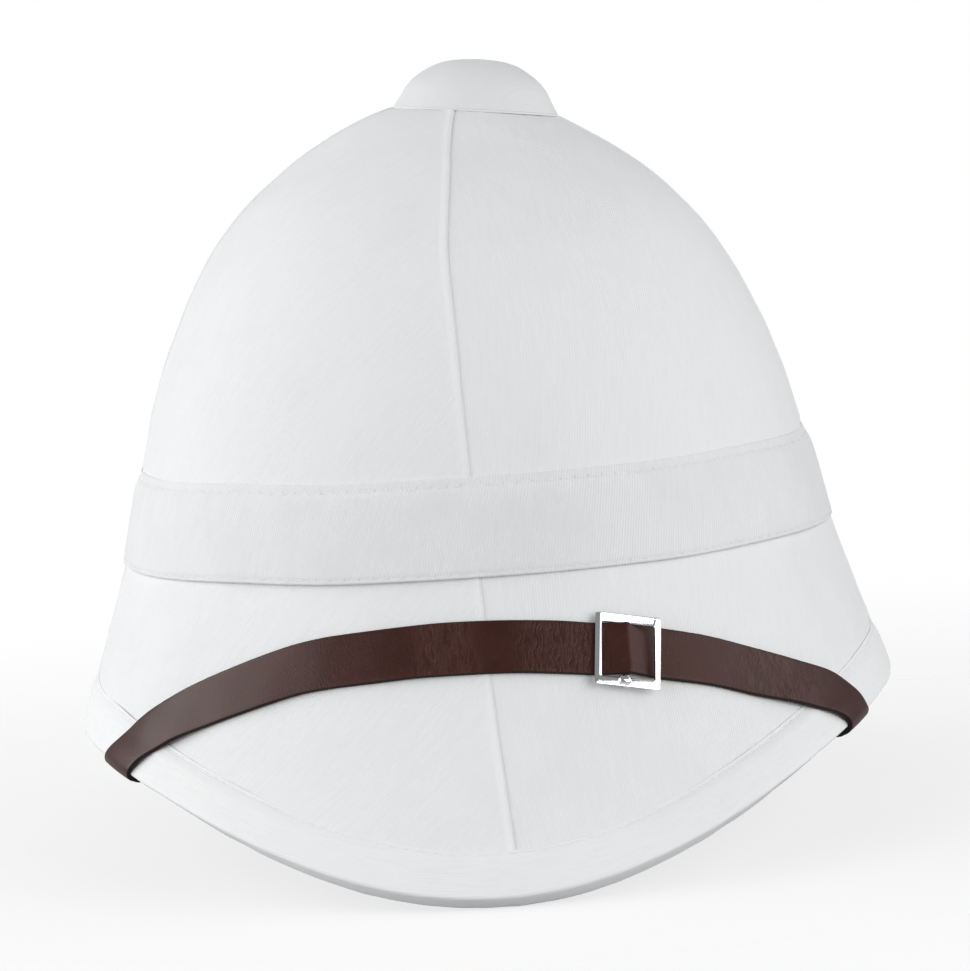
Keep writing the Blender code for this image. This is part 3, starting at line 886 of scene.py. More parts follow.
@dataclass
class StitchTree:
    """Geometry Nodes tree that lays a stitch at every pitch along a line of edges."""

    name: str = "stitches"
    segments: int = 8
    rings: int = 5

    def __post_init__(self) -> None:
        """Build the tree."""
        self.tree = bpy.data.node_groups.new(self.name, "GeometryNodeTree")
        self._sockets()
        self._nodes()

    def _sockets(self) -> None:
        """Named inputs and the output."""
        self.inputs: dict[str, str] = {}
        for name, kind in (
            ("Geometry", "Geometry"),
            ("Pitch", "Float"),
            ("Stitch length", "Float"),
            ("Thread thickness", "Float"),
            ("Unevenness", "Float"),
            ("Seed", "Int"),
            ("Thread", "Material"),
        ):
            self.inputs[name] = self._socket(name, "INPUT", kind).identifier
        self._socket("Geometry", "OUTPUT", "Geometry")

    def _socket(self, name: str, side: str, kind: str) -> bpy.types.NodeTreeInterfaceSocket:
        """One named input or output."""
        kind = f"NodeSocket{kind}"
        return self.tree.interface.new_socket(name=name, in_out=side, socket_type=kind)

    def _nodes(self) -> None:
        """Nodes from the line to the stitches."""
        bench = NodeBench(self.tree)
        given = bench.node("NodeGroupInput").outputs
        curve = bench.node("GeometryNodeMeshToCurve", None, {"Mesh": given["Geometry"]})
        spacing = {"Curve": curve.outputs[0], "Length": given["Pitch"]}
        points = bench.node("GeometryNodeCurveToPoints", {"mode": "LENGTH"}, spacing)
        divisions = {"Segments": self.segments, "Rings": self.rings, "Radius": 0.5}
        ball = bench.node("GeometryNodeMeshUVSphere", None, divisions).outputs["Mesh"]
        thickness = given["Thread thickness"]
        sizes = bench.joined(thickness, thickness, given["Stitch length"])
        stitch = bench.node("GeometryNodeTransform", None, {"Geometry": ball, "Scale": sizes})
        tangent = {"Vector": points.outputs["Tangent"]}
        aligned = bench.node("FunctionNodeAlignRotationToVector", {"axis": "Z"}, tangent)
        uneven = Amount(bench, given["Unevenness"])
        spread = {2: 1 - uneven, 3: 1 + uneven, "Seed": given["Seed"]}
        varied = bench.node("FunctionNodeRandomValue", {"data_type": "FLOAT"}, spread)
        laying = {
            "Points": points.outputs["Points"],
            "Instance": stitch.outputs[0],
            "Rotation": aligned.outputs[0],
            "Scale": varied.outputs[1],
        }
        laid = bench.node("GeometryNodeInstanceOnPoints", None, laying)
        real = bench.node("GeometryNodeRealizeInstances", None, {"Geometry": laid.outputs[0]})
        smooth = bench.node("GeometryNodeSetShadeSmooth", None, {"Geometry": real.outputs[0]})
        thread = {"Geometry": smooth.outputs[0], "Material": given["Thread"]}
        dressed = bench.node("GeometryNodeSetMaterial", None, thread)
        bench.node("NodeGroupOutput", None, {0: dressed.outputs[0]})


@dataclass
class StitchSet:
    """Rows of stitches of one kind on one part."""

    name: str
    pitch: float
    length: float
    slot: str
    thickness: float = 0.34 * MM
    unevenness: float = 0.12
    seed: int = 3

    def build(self, tree: StitchTree, lines: Sequence[Array], thread: Material) -> None:
        """Lay the stitches and make them a plain mesh.

        Args:
            tree: The stitches' Geometry Nodes tree.
            lines: Points of each row, which goes round to its start.
            thread: Material of the thread.
        """
        edges, first = [], 0
        for line in lines:
            last = first + len(line) - 1
            edges += [(i, i + 1) for i in range(first, last)] + [(last, first)]
            first = last + 1
        item = add_mesh(self.name, np.concatenate(lines), edges=edges)
        mesh = item.data
        modifier = item.modifiers.new("Stitches", "NODES")
        modifier.node_group = tree.tree
        values = {
            "Pitch": self.pitch,
            "Stitch length": self.length,
            "Thread thickness": self.thickness,
            "Unevenness": self.unevenness,
            "Seed": self.seed,
            "Thread": thread,
        }
        for name, value in values.items():
            modifier[tree.inputs[name]] = value
        depsgraph = bpy.context.evaluated_depsgraph_get()
        plain = bpy.data.meshes.new_from_object(item.evaluated_get(depsgraph))
        item.modifiers.clear()
        item.data = plain
        bpy.data.meshes.remove(mesh)
        plain.name = self.name
        dress(item)


def dress(
    item: Object,
    material: Material | None = None,
    replaced: Sequence[str] = (),
) -> None:
    """Give a piece its material, put it on the helmet's body and report it.

    Args:
        item: The piece.
        material: Its material, where it has none yet.
        replaced: Names of the model's solids that it stands for.
    """
    if material is not None:
        item.data.materials.append(material)
    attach(item, "root")
    if replaced:
        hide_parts(*replaced)
    triangles = sum(len(face.vertices) - 2 for face in item.data.polygons)
    LOG.info("%s: %d triangles", item.name, triangles)


# Cover --------------------------------------------------------------------------------------------


class Seam(Enum):
    """The cover's seams, by their angle round the helmet in degrees."""

    FRONT = 0
    RIGHT = 90
    REAR = 180
    LEFT = 270


@dataclass
class Cover:
    """Cloth cover on the moulded shell: four panels, each lapped over the next at a seam."""

    form: HelmetForm
    finish: Cloth
    cap_place: Matrix
    hole_radius: float = 0.0108
    offsets: tuple[float, ...] = (
        -4.4, -3.6, -2.9, -2.3, -1.8, -1.4, -1.0, -0.7, -0.45, -0.2,
        0.0, 0.2, 0.45, 0.7, 0.95, 1.25, 1.7, 2.4, 3.3, 4.4,
    )
    boundary: int = 13
    first_row: float = 5.0
    hole_height: float = 0.2125
    panel_columns: int = 52
    dome_steps: int = 14
    crown_steps: int = 54
    brim_steps: int = 36
    lap: float = 0.13 * MM
    ridge: float = 0.66 * MM
    ridge_slope: float = 1.30 * MM
    ridge_drop: float = 0.42 * MM
    groove: float = 0.16 * MM
    groove_place: float = 0.95 * MM
    groove_width: float = 0.35 * MM
    waves_up: float = 410.0
    unevenness: float = 0.22 * MM
    covered_relief: float = 0.45
    covered_unevenness: float = 0.4
    strap_half: float = 12.0 * MM
    strap_rows: Pair = (55.5 * MM, 73.5 * MM)
    line_angles: tuple[float, ...] = (70.0, 56.0, 70.0, 56.0)
    seam_path: tuple[Pair, ...] = (
        (0.0000, 5.6), (0.0047, 4.9), (0.0140, 3.8), (0.0316, 2.3),
        (0.0464, 1.0), (0.0574, 0.3), (0.0715, -0.1), (0.0829, -0.7),
        (0.1106, -1.5), (0.1313, -2.3), (0.1475, -2.7), (0.1719, -3.65),
        (0.1912, -1.7), (0.1968, -1.0), (0.2024, -0.2), (0.2066, 1.0),
        (0.2106, 1.8), (0.2140, 2.2),
    )

    @property
    def seam_column(self) -> int:
        """Columns from a panel's first one to the seam before it."""
        return self.offsets.index(0.0) - self.boundary

    def seam_offset(self, seam: Seam, height: Array) -> Array:
        """Distance of a seam to the right of its middle plane, smoothed along it.

        Args:
            seam: The seam.
            height: Heights along it.

        Returns:
            One distance for each height.
        """
        if seam is not Seam.FRONT:
            return np.zeros_like(height)
        heights, offsets = np.array(self.seam_path).T
        shifts = np.linspace(-5.0, 5.0, 7) * MM
        return np.mean([np.interp(height + shift, heights, offsets) for shift in shifts], axis=0) * MM

    def columns(self, half_width: Array, half_length: Array, height: Array) -> Array:
        """Angles of the grid's columns on each row, dense and evenly spaced in metres at the seams.

        Args:
            half_width: Each row's reach to the side.
            half_length: Each row's reach to the front.
            height: Each row's height at the front.

        Returns:
            Angles, rows by columns, from the front seam's boundary round to just before it.
        """
        fine = np.array(self.offsets) * MM
        centres, reaches = [], []
        for seam in Seam:
            reach = half_width if seam in (Seam.FRONT, Seam.REAR) else half_length
            centres.append(math.radians(seam.value) + self.seam_offset(seam, height) / reach)
            reaches.append(reach)
        centres.append(centres[0] + 2 * math.pi)
        reaches.append(reaches[0])
        parts = []
        share = np.arange(1, self.panel_columns + 1) / (self.panel_columns + 1)
        for index in range(len(Seam)):
            after = centres[index][:, None] + fine[self.boundary :] / reaches[index][:, None]
            next_centre, next_reach = centres[index + 1][:, None], reaches[index + 1][:, None]
            before = next_centre + fine[: self.boundary] / next_reach
            between = after[:, -1:] + (before[:, :1] - after[:, -1:]) * share
            parts += [after, between, before]
        return np.concatenate(parts, axis=1)

    def panels(self) -> list[int]:
        """First column of each panel, and the number of columns."""
        width = len(self.offsets) + self.panel_columns
        return [index * width for index in range(len(Seam) + 1)]

    def seam_runs(self, lengths: Array) -> Array:
        """Distance along each row at which it meets a seam, from front seam round to front seam.

        Args:
            lengths: Distance along each row at each column, and at its first column again.

        Returns:
            Rows by one more than the seams, with the first one before the row's start.
        """
        met = lengths[:, [start + self.seam_column for start in self.panels()[1:]]]
        return np.concatenate([met[:, -1:] - lengths[:, -1:], met], axis=1)

    def relief(self, across: Array, height: Array) -> Array:
        """Height of the lapped seams' relief.

        Args:
            across: Distance along each row from the nearest seam, positive past it.
            height: Height of each point.

        Returns:
            Relief off the plain cloth.
        """
        plateau = self.lap * ease(-4.2 * MM, -2.6 * MM, across) * (1 - ease(0.2 * MM, 0.8 * MM, across))
        slope = np.where(across < 0, self.ridge_slope, self.ridge_drop)
        ridge = (self.ridge - self.lap) * bell(across, slope)
        groove = self.groove * bell(across - self.groove_place, self.groove_width)
        return plateau + ridge * (0.9 + 0.1 * np.sin(height * self.waves_up)) - groove

    def _dome_rows(self, height: float, reach: float) -> ThreeArrays:
        """Rows of the dome, from the round hole under the cap to the crown's first row.

        Args:
            height: Height of the crown's first row.
            reach: Half width of that row.

        Returns:
            Points, outward normals and column angles.
        """
        form = self.form
        share = np.arange(self.dome_steps) / self.dome_steps
        reaches = self.hole_radius + (reach - self.hole_radius) * share
        heights = np.linspace(self.hole_height, height, self.dome_steps)
        angles = self.columns(reaches, reaches, heights)
        share = share[:, None, None]
        circle = self.hole_radius * np.stack([np.sin(angles), -np.cos(angles)], axis=-1)
        ring_middle = np.array([0.0, form.centre_y])
        ring = form.crown(angles, np.full_like(angles, self.first_row))[..., :2] - ring_middle
        off_middle = (np.array(self.cap_place.translation[:2]) - ring_middle) * (1 - share) ** 2
        plan = circle * (1 - share) + ring * share + ring_middle + off_middle
        seam_top = self.seam_path[-1][0]
        seam = self.seam_offset(Seam.FRONT, np.linspace(seam_top, height, self.dome_steps))
        shift = (seam - plan[:, self.seam_column, 0]) * ease(0.0, 0.3, share[:, 0, 0])
        plan[..., 0] += shift[:, None] * ((1 + np.cos(angles)) / 2) ** 3
        angle, row = form.dome(plan[..., 0], plan[..., 1])
        return form.crown(angle, row), form.crown_normal(angle, row), angles

    def outer_rows(self) -> ThreeArrays:
        """Points, outward normals and column angles of the outer face, from the hole to the edge."""
        form = self.form
        rows = np.linspace(self.first_row, form.root_row, self.crown_steps)[:, None]
        section = blend_rows(form.table, rows[:, 0])
        angles = self.columns(*section.T)
        rows = np.broadcast_to(rows, angles.shape)
        crown = form.crown(angles, rows), form.crown_normal(angles, rows), angles

        drops = np.linspace(0.0, 1.0, self.brim_steps)[1:]
        front = form.brim_section(np.zeros_like(drops), drops)
        side = form.brim_section(np.full_like(drops, math.pi / 2), drops)
        angles = self.columns(side[0], side[1], front[2])
        drops = np.broadcast_to(drops[:, None], angles.shape)
        brim = form.brim(angles, drops), form.brim_normal(angles, drops), angles

        dome = self._dome_rows(section[0, 2], section[0, 0])
        points, normals, angles = (np.concatenate(parts) for parts in zip(dome, crown, brim))
        return points, normals, angles

    def build(self) -> None:
        """Cover and shell in one closed piece."""
        form = self.form
        base, normals, angles = self.outer_rows()
        lengths = row_lengths(base)
        away = lengths[:, :-1, None] - self.seam_runs(lengths)[:, None, :]
        nearest = np.argmin(np.abs(away), axis=-1)[..., None]
        across = np.take_along_axis(away, nearest, axis=-1)[..., 0]
        covered = self._covered(base)
        lift = self.relief(across, base[..., 2]) * (1 - (1 - self.covered_relief) * covered)
        even = 1 - (1 - self.covered_unevenness) * covered
        lift += Ripple(0.036, 11)(base) * self.unevenness * even
        outer = base + normals * lift[..., None]

        edge_runs = np.linspace(form.half_turn, -form.half_turn, 9)[1:]
        edge = form.skin(angles[-1:], edge_runs[:, None], 0.0)
        inner_rows = np.linspace(len(base) - 1, 1, 62).round().astype(int)[1:]
        inner = base[inner_rows] - normals[inner_rows] * form.wall
        hole = base[:1] - np.array(self.cap_place.to_3x3().col[2]) * form.wall
        grid = Grid(np.concatenate([outer, edge, inner, hole]), wrap_rows=True)
        self._add_maps(grid, len(base))
        dress(grid.build("helmet_cover"), self.finish.material(), ["helmet_shell"])

    def _covered(self, points: Array) -> Array:
        """How far points lie under the band, the bound edge or the strap.

        Args:
            points: Rows of points from the hole to the edge.

        Returns:
            One number for each point, from 0 to 1.
        """
        form, height = self.form, points[..., 2]
        low, high = (form.table[int(row), 2] for row in (form.root_row, form.band_top_row))
        band = within(low, high, MM, height)
        front = bell(points[..., 0], self.strap_half) * (points[..., 1] < 0)
        strap = front * within(*self.strap_rows, MM, height)
        rows = np.arange(len(points))[:, None] / (len(points) - 1)
        return np.maximum(np.maximum(band, strap), ease(0.955, 0.965, rows))

    def _add_maps(self, grid: Grid, outer_count: int) -> None:
        """Lay the weave, and the distance from the seams that places their painted highlight and shadow,
        panel by panel.

        Args:
            grid: The cover.
            outer_count: Number of its rows on the outer face.
        """
        points = np.concatenate([grid.points, grid.points[:1]])
        lengths = row_lengths(points)
        seams = self.seam_runs(lengths)
        starts = self.panels()
        maps: dict[str, tuple[list[Array], list[Array]]] = {"weave": ([], []), "stitch": ([], [])}
        for index, (first, last) in enumerate(zip(starts, starts[1:])):
            middle = (lengths[:, [first]] + lengths[:, [last]]) / 2
            down = column_lengths(points[:, (first + last) // 2])[:, None]
            for side in (0, 1):
                run = lengths[:, first + side : last + side]
                maps["weave"][side].append(rotated(run - middle, -down, self.line_angles[index]))
                past, short = run - seams[:, [index]], run - seams[:, [index + 1]]
                off_row = np.where(past < -short, past, short)
                off_row[outer_count:] = FAR_FROM_STITCHES
                count = np.broadcast_to(down / self.finish.stitch_pitch, run.shape)
                maps["stitch"][side].append(np.stack([off_row, count], axis=-1))
        for name, sides in maps.items():
            grid.add_map(name, *(np.concatenate(panels, axis=1) for panels in sides))


# Band and bound edge ------------------------------------------------------------------------------


@dataclass
class SewnStrip:
    """Cloth strip led round the helmet, folded at both edges and sewn near each."""

    form: HelmetForm
    finish: Cloth

    def lay_maps(self, grid: Grid, up: Array, off_row: Array, length: float) -> None:
        """Lay the weave and the needle marks.

        Args:
            grid: The strip, with its section's face first.
            up: Distance up the strip at each point of its section.
            off_row: Distance there from the nearer row of stitches.
            length: Length once round.
        """
        around = np.append(full_turn(self.columns), 2 * math.pi) / (2 * math.pi) * length
        loop = np.append(up, up[0])
        grid.add_map("weave", rotated(around[None, :], loop[:, None], self.line_angle))
        on_face = np.arange(len(up)) < self.face_count
        off_row = np.where(on_face, off_row, FAR_FROM_STITCHES)
        off_row = np.append(off_row, off_row[0])
        count = around / self.finish.stitch_pitch
        marks = np.broadcast_arrays(off_row[:, None], count[None, :])
        grid.add_map("stitch", np.stack(marks, axis=-1))

    def sewn_rows(self, points: Array, up: Array, rows: Pair) -> list[Array]:
        """Points of the face that lie nearest to each row of stitches.

        Args:
            points: Points of the strip, section by columns.
            up: Distance up the strip at each point of its section.
            rows: Distance up it of each row.

        Returns:
            One line of points for each row.
        """
        face = up[: self.face_count]
        return [points[np.argmin(np.abs(face - row))] for row in rows]


@dataclass
class HatBand(SewnStrip):
    """Flat cloth band round the crown's foot."""

    thickness: float = 1.2 * MM
    columns: int = 720
    face_rows: int = 22
    fold_rows: int = 5
    thin: float = 0.42
    rest: float = -0.10 * MM
    top_stitch: float = 2.4 * MM
    bottom_stitch: float = 1.8 * MM
    groove: float = 0.16 * MM
    groove_width: float = 0.7 * MM
    unevenness: float = 0.10 * MM
    edge_unevenness: float = 0.18 * MM
    seam_lump: float = 0.08 * MM
    seam_spread: float = 0.02
    stitch_length: float = 2.6 * MM
    line_angle: float = 75.0

    def build(self, tree: StitchTree, thread: Material) -> None:
        """Band and its two rows of stitches.

        Args:
            tree: The stitches' tree.
            thread: Material of the thread.
        """
        form = self.form
        angles = full_turn(self.columns)
        band_rows = np.linspace(form.band_top_row, form.root_row, 40)
        side = form.crown(np.full_like(band_rows, math.pi / 2), band_rows)
        self.height = float(column_lengths(side)[-1])
        down, lift = self._section()
        row = form.band_top_row + (form.root_row - form.band_top_row) * down / self.height
        row_grid = np.broadcast_to(row[:, None], (len(row), self.columns))
        angle_grid = np.broadcast_to(angles, row_grid.shape)
        base = form.crown(angle_grid, row_grid)
        outward = form.crown_normal(angle_grid, row_grid)
        outside = ease(0.15 * self.thickness, 0.6 * self.thickness, lift - self.rest)[:, None]
        puckers = Ripple(0.015, 21, squash=(1, 1, 0.35))(base) * self.unevenness
        wave = Ripple(0.045, 22)(base) * self.unevenness
        places = (math.radians(seam.value) for seam in Seam)
        seams = sum(bell(angle_apart(angles, place), self.seam_spread) for place in places)
        total = lift[:, None] + outside * (puckers + wave + self.seam_lump * seams)
        points = base + outward * total[..., None]
        points[..., 2] += Ripple(0.05, 23)(base[:1])[0] * self.edge_unevenness
        grid = Grid(points, wrap_rows=True)
        length = float(row_lengths(points[:1])[0, -1])
        rows = (-self.top_stitch, self.bottom_stitch - self.height)
        below_top, above_bottom = down - self.top_stitch, self.height - self.bottom_stitch - down
        off_row = np.where(down < self.height / 2, below_top, above_bottom)
        self.lay_maps(grid, -down, off_row, length)
        item = grid.build("cloth_band")
        dress(item, self.finish.material(), ["hat_band"])
        self.height + 4 * MM
        stitches = StitchSet("band_stitches", self.finish.stitch_pitch, self.stitch_length, "band_cloth")
        stitches.build(tree, self.sewn_rows(points, -down, rows), thread)

    def _section(self) -> TwoArrays:
        """Closed section: distance down the crown and lift off it, first down the outer face."""
        gap = self.form.gap
        radius, thin_radius = self.thickness / 2, self.thin * self.thickness / 2
        turn = np.linspace(0, math.pi, self.fold_rows + 2)[1:-1]
        face = np.linspace(thin_radius, self.height - radius, self.face_rows)
        extra = np.array([0.6, 1.2, 1.8, 2.4, 3.0, 3.8]) * MM
        face = np.unique(np.concatenate([face, thin_radius + extra, self.height - radius - extra]))
        self.face_count = len(face)
        grooves = bell(face - self.top_stitch, self.groove_width)
        grooves += bell(self.height - self.bottom_stitch - face, self.groove_width)
        full = self.thin + (1 - self.thin) * ease(0, 7 * MM, face)
        outer = gap + self.thickness * full - self.groove * grooves
        low_fold = self.height - radius + radius * np.sin(turn), gap + radius + radius * np.cos(turn)
        back = np.linspace(self.height - radius, thin_radius, 8)
        high_fold = thin_radius * (1 - np.sin(turn)), gap + thin_radius * (1 - np.cos(turn))
        down = np.concatenate([face, low_fold[0], back, high_fold[0]])
        lift = np.concatenate([outer, low_fold[1], np.full(len(back), gap), high_fold[1]])
        return down, lift - (gap - self.rest) * (1 - ease(0, 5 * MM, down))


@dataclass
class EdgeBinding(SewnStrip):
    """Cloth strip folded over the brim's edge and sewn through."""

    columns: int = 820
    outer_rows: int = 18
    corner_rows: int = 13
    turn_rows: int = 9
    inner_rows: int = 10
    corner: float = 0.50 * MM
    corner_reach: float = 0.85 * MM
    stitch: float = 1.2 * MM
    groove: float = 0.08 * MM
    groove_width: float = 0.55 * MM
    unevenness: float = 0.08 * MM
    edge_unevenness: float = 0.25 * MM
    seam_place: float = 0.035
    seam_lump: float = 0.10 * MM
    seam_spread: float = 0.018
    thin: float = 0.32
    rest: float = -0.10 * MM
    stitch_length: float = 2.0 * MM
    thread_thickness: float = 0.26 * MM
    line_angle: float = 3.0

    def build(self, tree: StitchTree, thread: Material) -> None:
        """Binding and its rows of stitches, outside and inside.

        Args:
            tree: The stitches' tree.
            thread: Material of the thread.
        """
        form = self.form
        angles = full_turn(self.columns)
        runs, lifts = self._section()
        outside = ease(0.15, 0.45, (lifts - self.rest) / form.binding_thickness)[:, None]
        flat = form.skin(angles[None, :], runs[:, None], 0.0)
        puckers = Ripple(0.011, 31, squash=(1, 1, 0.3))(flat) * self.unevenness * 0.7
        wave = Ripple(0.04, 32)(flat) * self.unevenness
        seam = bell(angle_apart(angles, self.seam_place), self.seam_spread)
        total = lifts[:, None] + outside * (puckers + wave + self.seam_lump * seam)
        edge_wave = Ripple(0.045, 33)(flat[:1])[0] * self.edge_unevenness
        upper = ease(form.half_turn + 4 * MM, form.half_turn + 12 * MM, runs)[:, None]
        points = form.skin(angles[None, :], runs[:, None] + upper * edge_wave, total)
        grid = Grid(points, wrap_rows=True)
        edge_row = int(np.argmin(np.abs(runs[: self.face_count])))
        length = float(row_lengths(points[edge_row : edge_row + 1])[0, -1])
        top, bottom = self._ends()
        rows = (top - self.stitch, bottom + self.stitch)
        off_row = np.where(runs > 0, runs - rows[0], runs - rows[1])
        self.lay_maps(grid, runs, off_row, length)
        item = grid.build("edge_binding")
        dress(item, self.finish.material(), ["brim_binding"])
        width = 2 * form.half_turn + form.binding_width + form.inner_binding_width
        stitches = StitchSet(
            "binding_stitches",
            self.finish.stitch_pitch,
            self.stitch_length,
            "binding_cloth",
            thickness=self.thread_thickness,
            seed=5,
        )
        stitches.build(tree, self.sewn_rows(points, runs, rows), thread)

    def _ends(self) -> Pair:
        """Run round the wall of the binding's outer and inner edge."""
        form = self.form
        return form.half_turn + form.binding_width, -form.half_turn - form.inner_binding_width

    def _section(self) -> TwoArrays:
        """Closed section: run round the wall and lift off it, first down the outer face."""
        form, gap = self.form, self.form.gap
        radius = self.thin * form.binding_thickness / 2
        top, bottom = self._ends()
        outer = np.linspace(top - radius, form.half_turn, self.outer_rows)
        near = top - radius - np.array([0.35, 0.7, 1.0, 1.4, 1.9]) * MM
        outer = np.sort(np.unique(np.concatenate([outer, near])))[::-1]
        rounding = np.linspace(form.half_turn, form.edge_flat, self.corner_rows)[1:]
        under = np.linspace(form.edge_flat, -form.half_turn, self.turn_rows)[1:]
        over = np.concatenate([rounding, under])
        inner = np.linspace(-form.half_turn, bottom + radius, self.inner_rows)[1:]
        face = np.concatenate([outer, over, inner])
        self.face_count = len(face)
        grooves = bell(face - top + self.stitch, self.groove_width)
        grooves += bell(face - bottom - self.stitch, self.groove_width)
        full = self.thin + (1 - self.thin) * ease(0, 5 * MM, np.minimum(top - face, face - bottom))
        face_lift = gap + form.binding_thickness * full - self.groove * grooves
        face_lift += self.corner * bell(face - form.edge_flat - form.edge_arc / 2, self.corner_reach)
        turn = np.linspace(0, math.pi, 5)[1:-1]
        low = bottom + radius - radius * np.sin(turn), gap + radius + radius * np.cos(turn)
        back = np.concatenate([inner[::-1], over[::-2][1:], [form.half_turn], outer[::-3]])
        high = top - radius + radius * np.sin(turn), gap + radius - radius * np.cos(turn)
        back = back[np.concatenate([[True], np.diff(back) > 1e-5])]
        runs = np.concatenate([face, low[0], back, high[0]])
        lifts = np.concatenate([face_lift, low[1], np.full(len(back), gap), high[1]])
        near_edge = 1 - ease(0, 5 * MM, np.minimum(top - runs, runs - bottom))
        return runs, lifts - (gap - self.rest) * near_edge


# Ventilator cap -----------------------------------------------------------------------------------


@dataclass
class VentilatorCap:
    """Cloth-covered dome on a neck, with a lip at its rim."""

    form: HelmetForm
    finish: Cloth
    centre: Triple = (0.0083, -0.004, 0.2103)
    lean: float = math.radians(6.7)
    outside: tuple[Pair, ...] = (
        (0.0000, 0.0153), (0.0062, 0.0149), (0.0118, 0.0135), (0.0169, 0.0105),
        (0.0203, 0.0073), (0.0227, 0.0035), (0.0250, 0.0000),
    )
    lip: tuple[Pair, ...] = (
        (24.36, 1.0), (24.26, 0.85), (24.42, 0.72), (24.68, 0.55), (24.74, 0.3), (24.7, 0.08),
        (24.55, 0.0), (24.1, 0.0), (23.4, 0.2),
    )
    lip_row: float = 5.72
    wall: float = 0.0018
    neck_radius: float = 0.0105
    bore_radius: float = 0.0090
    neck_depth: float = 0.0035
    neck_root: float = 0.0010
    neck_rounding: float = 0.2 * MM
    segments: int = 120
    rest: float = 0.12 * MM
    give: float = 6.0 * MM
    settlings: int = 4
    unevenness: float = 0.08 * MM
    line_angle: float = 52.0

    @property
    def place(self) -> Matrix:
        """Frame of the cap, on its axis at its rim."""
        return Matrix.Translation(self.centre) @ Matrix.Rotation(self.lean, 4, "Y")

    def profile(self) -> Array:
        """Radii and heights down the outside, round the lip, up inside and down the neck."""
        table = np.array(self.outside)
        dome = blend_rows(table, np.linspace(0, self.lip_row, 42))
        dome[0, 0] = 0.0
        widest, top = table[-1, 0], table[0, 1] - self.wall
        scale = (widest - self.wall) / widest, top / table[0, 1]
        inside = blend_rows(table, np.linspace(5.8, 2.0, 22)) * scale
        inside = inside[inside[:, 0] > self.neck_radius + self.neck_root]
        neck, bore = self.neck_radius, self.bore_radius
        foot, rounding = -self.neck_depth, self.neck_rounding
        neck_rings = [
            (neck, inside[-1, 1] + self.form.gap),
            (neck, 0.0),
            (neck, foot + 1.5 * rounding),
            (neck - 1.5 * rounding, foot),
            (bore + rounding, foot),
            (bore, foot + rounding),
            (bore, 0.4 * top),
            (bore, top - self.neck_root),
            (0.5 * bore, top - rounding),
            (0.0, top),
        ]
        return np.concatenate([dome, np.array(self.lip) * MM, inside, neck_rings])

    def _settled(self, points: Array, rings: Array) -> Array:
        """Let the rim down on the crown all round.

        Args:
            points: Rings of points of the stiff cap.
            rings: Radius and height of each ring.

        Returns:
            The same points, lowered near the rim.
        """
        axis = np.array(self.place.to_3x3().col[2])
        lowest = int(np.argmax(rings[:, 0] * (rings[:, 1] < 0.05 * MM)))
        rim = points[lowest]
        drop = np.zeros(len(rim))
        for _ in range(self.settlings):
            here = rim - axis * drop[:, None]
            angle, row = self.form.dome(here[:, 0], here[:, 1])
            drop += here[:, 2] - self.form.crown(angle, row)[:, 2]
        past_neck = rings[:, 0] > self.neck_radius + 3 * self.neck_root
        soft = (1 - ease(0, self.give, rings[:, 1])) * past_neck
        return points - axis * (soft[:, None] * (drop - self.rest))[..., None]

    def build(self) -> None:
        """Cap in one closed piece."""
        profile = self.profile()
        grid, angles = turned(profile, self.place, self.segments)
        base = self._settled(grid.points, profile[1:-1])
        middle = np.array(self.place.translation)
        grid.points = base + unit(base - middle) * (Ripple(0.02, 41)(base) * self.unevenness)[..., None]
        reach = column_lengths(profile)[1:-1, None]
        grid.add_map("weave", rotated(reach * np.sin(angles), -reach * np.cos(angles), self.line_angle))
        dress(grid.build("ventilator_dome"), self.finish.material(), ["ventilator_cap"])


# Strap --------------------------------------------------------------------------------------------


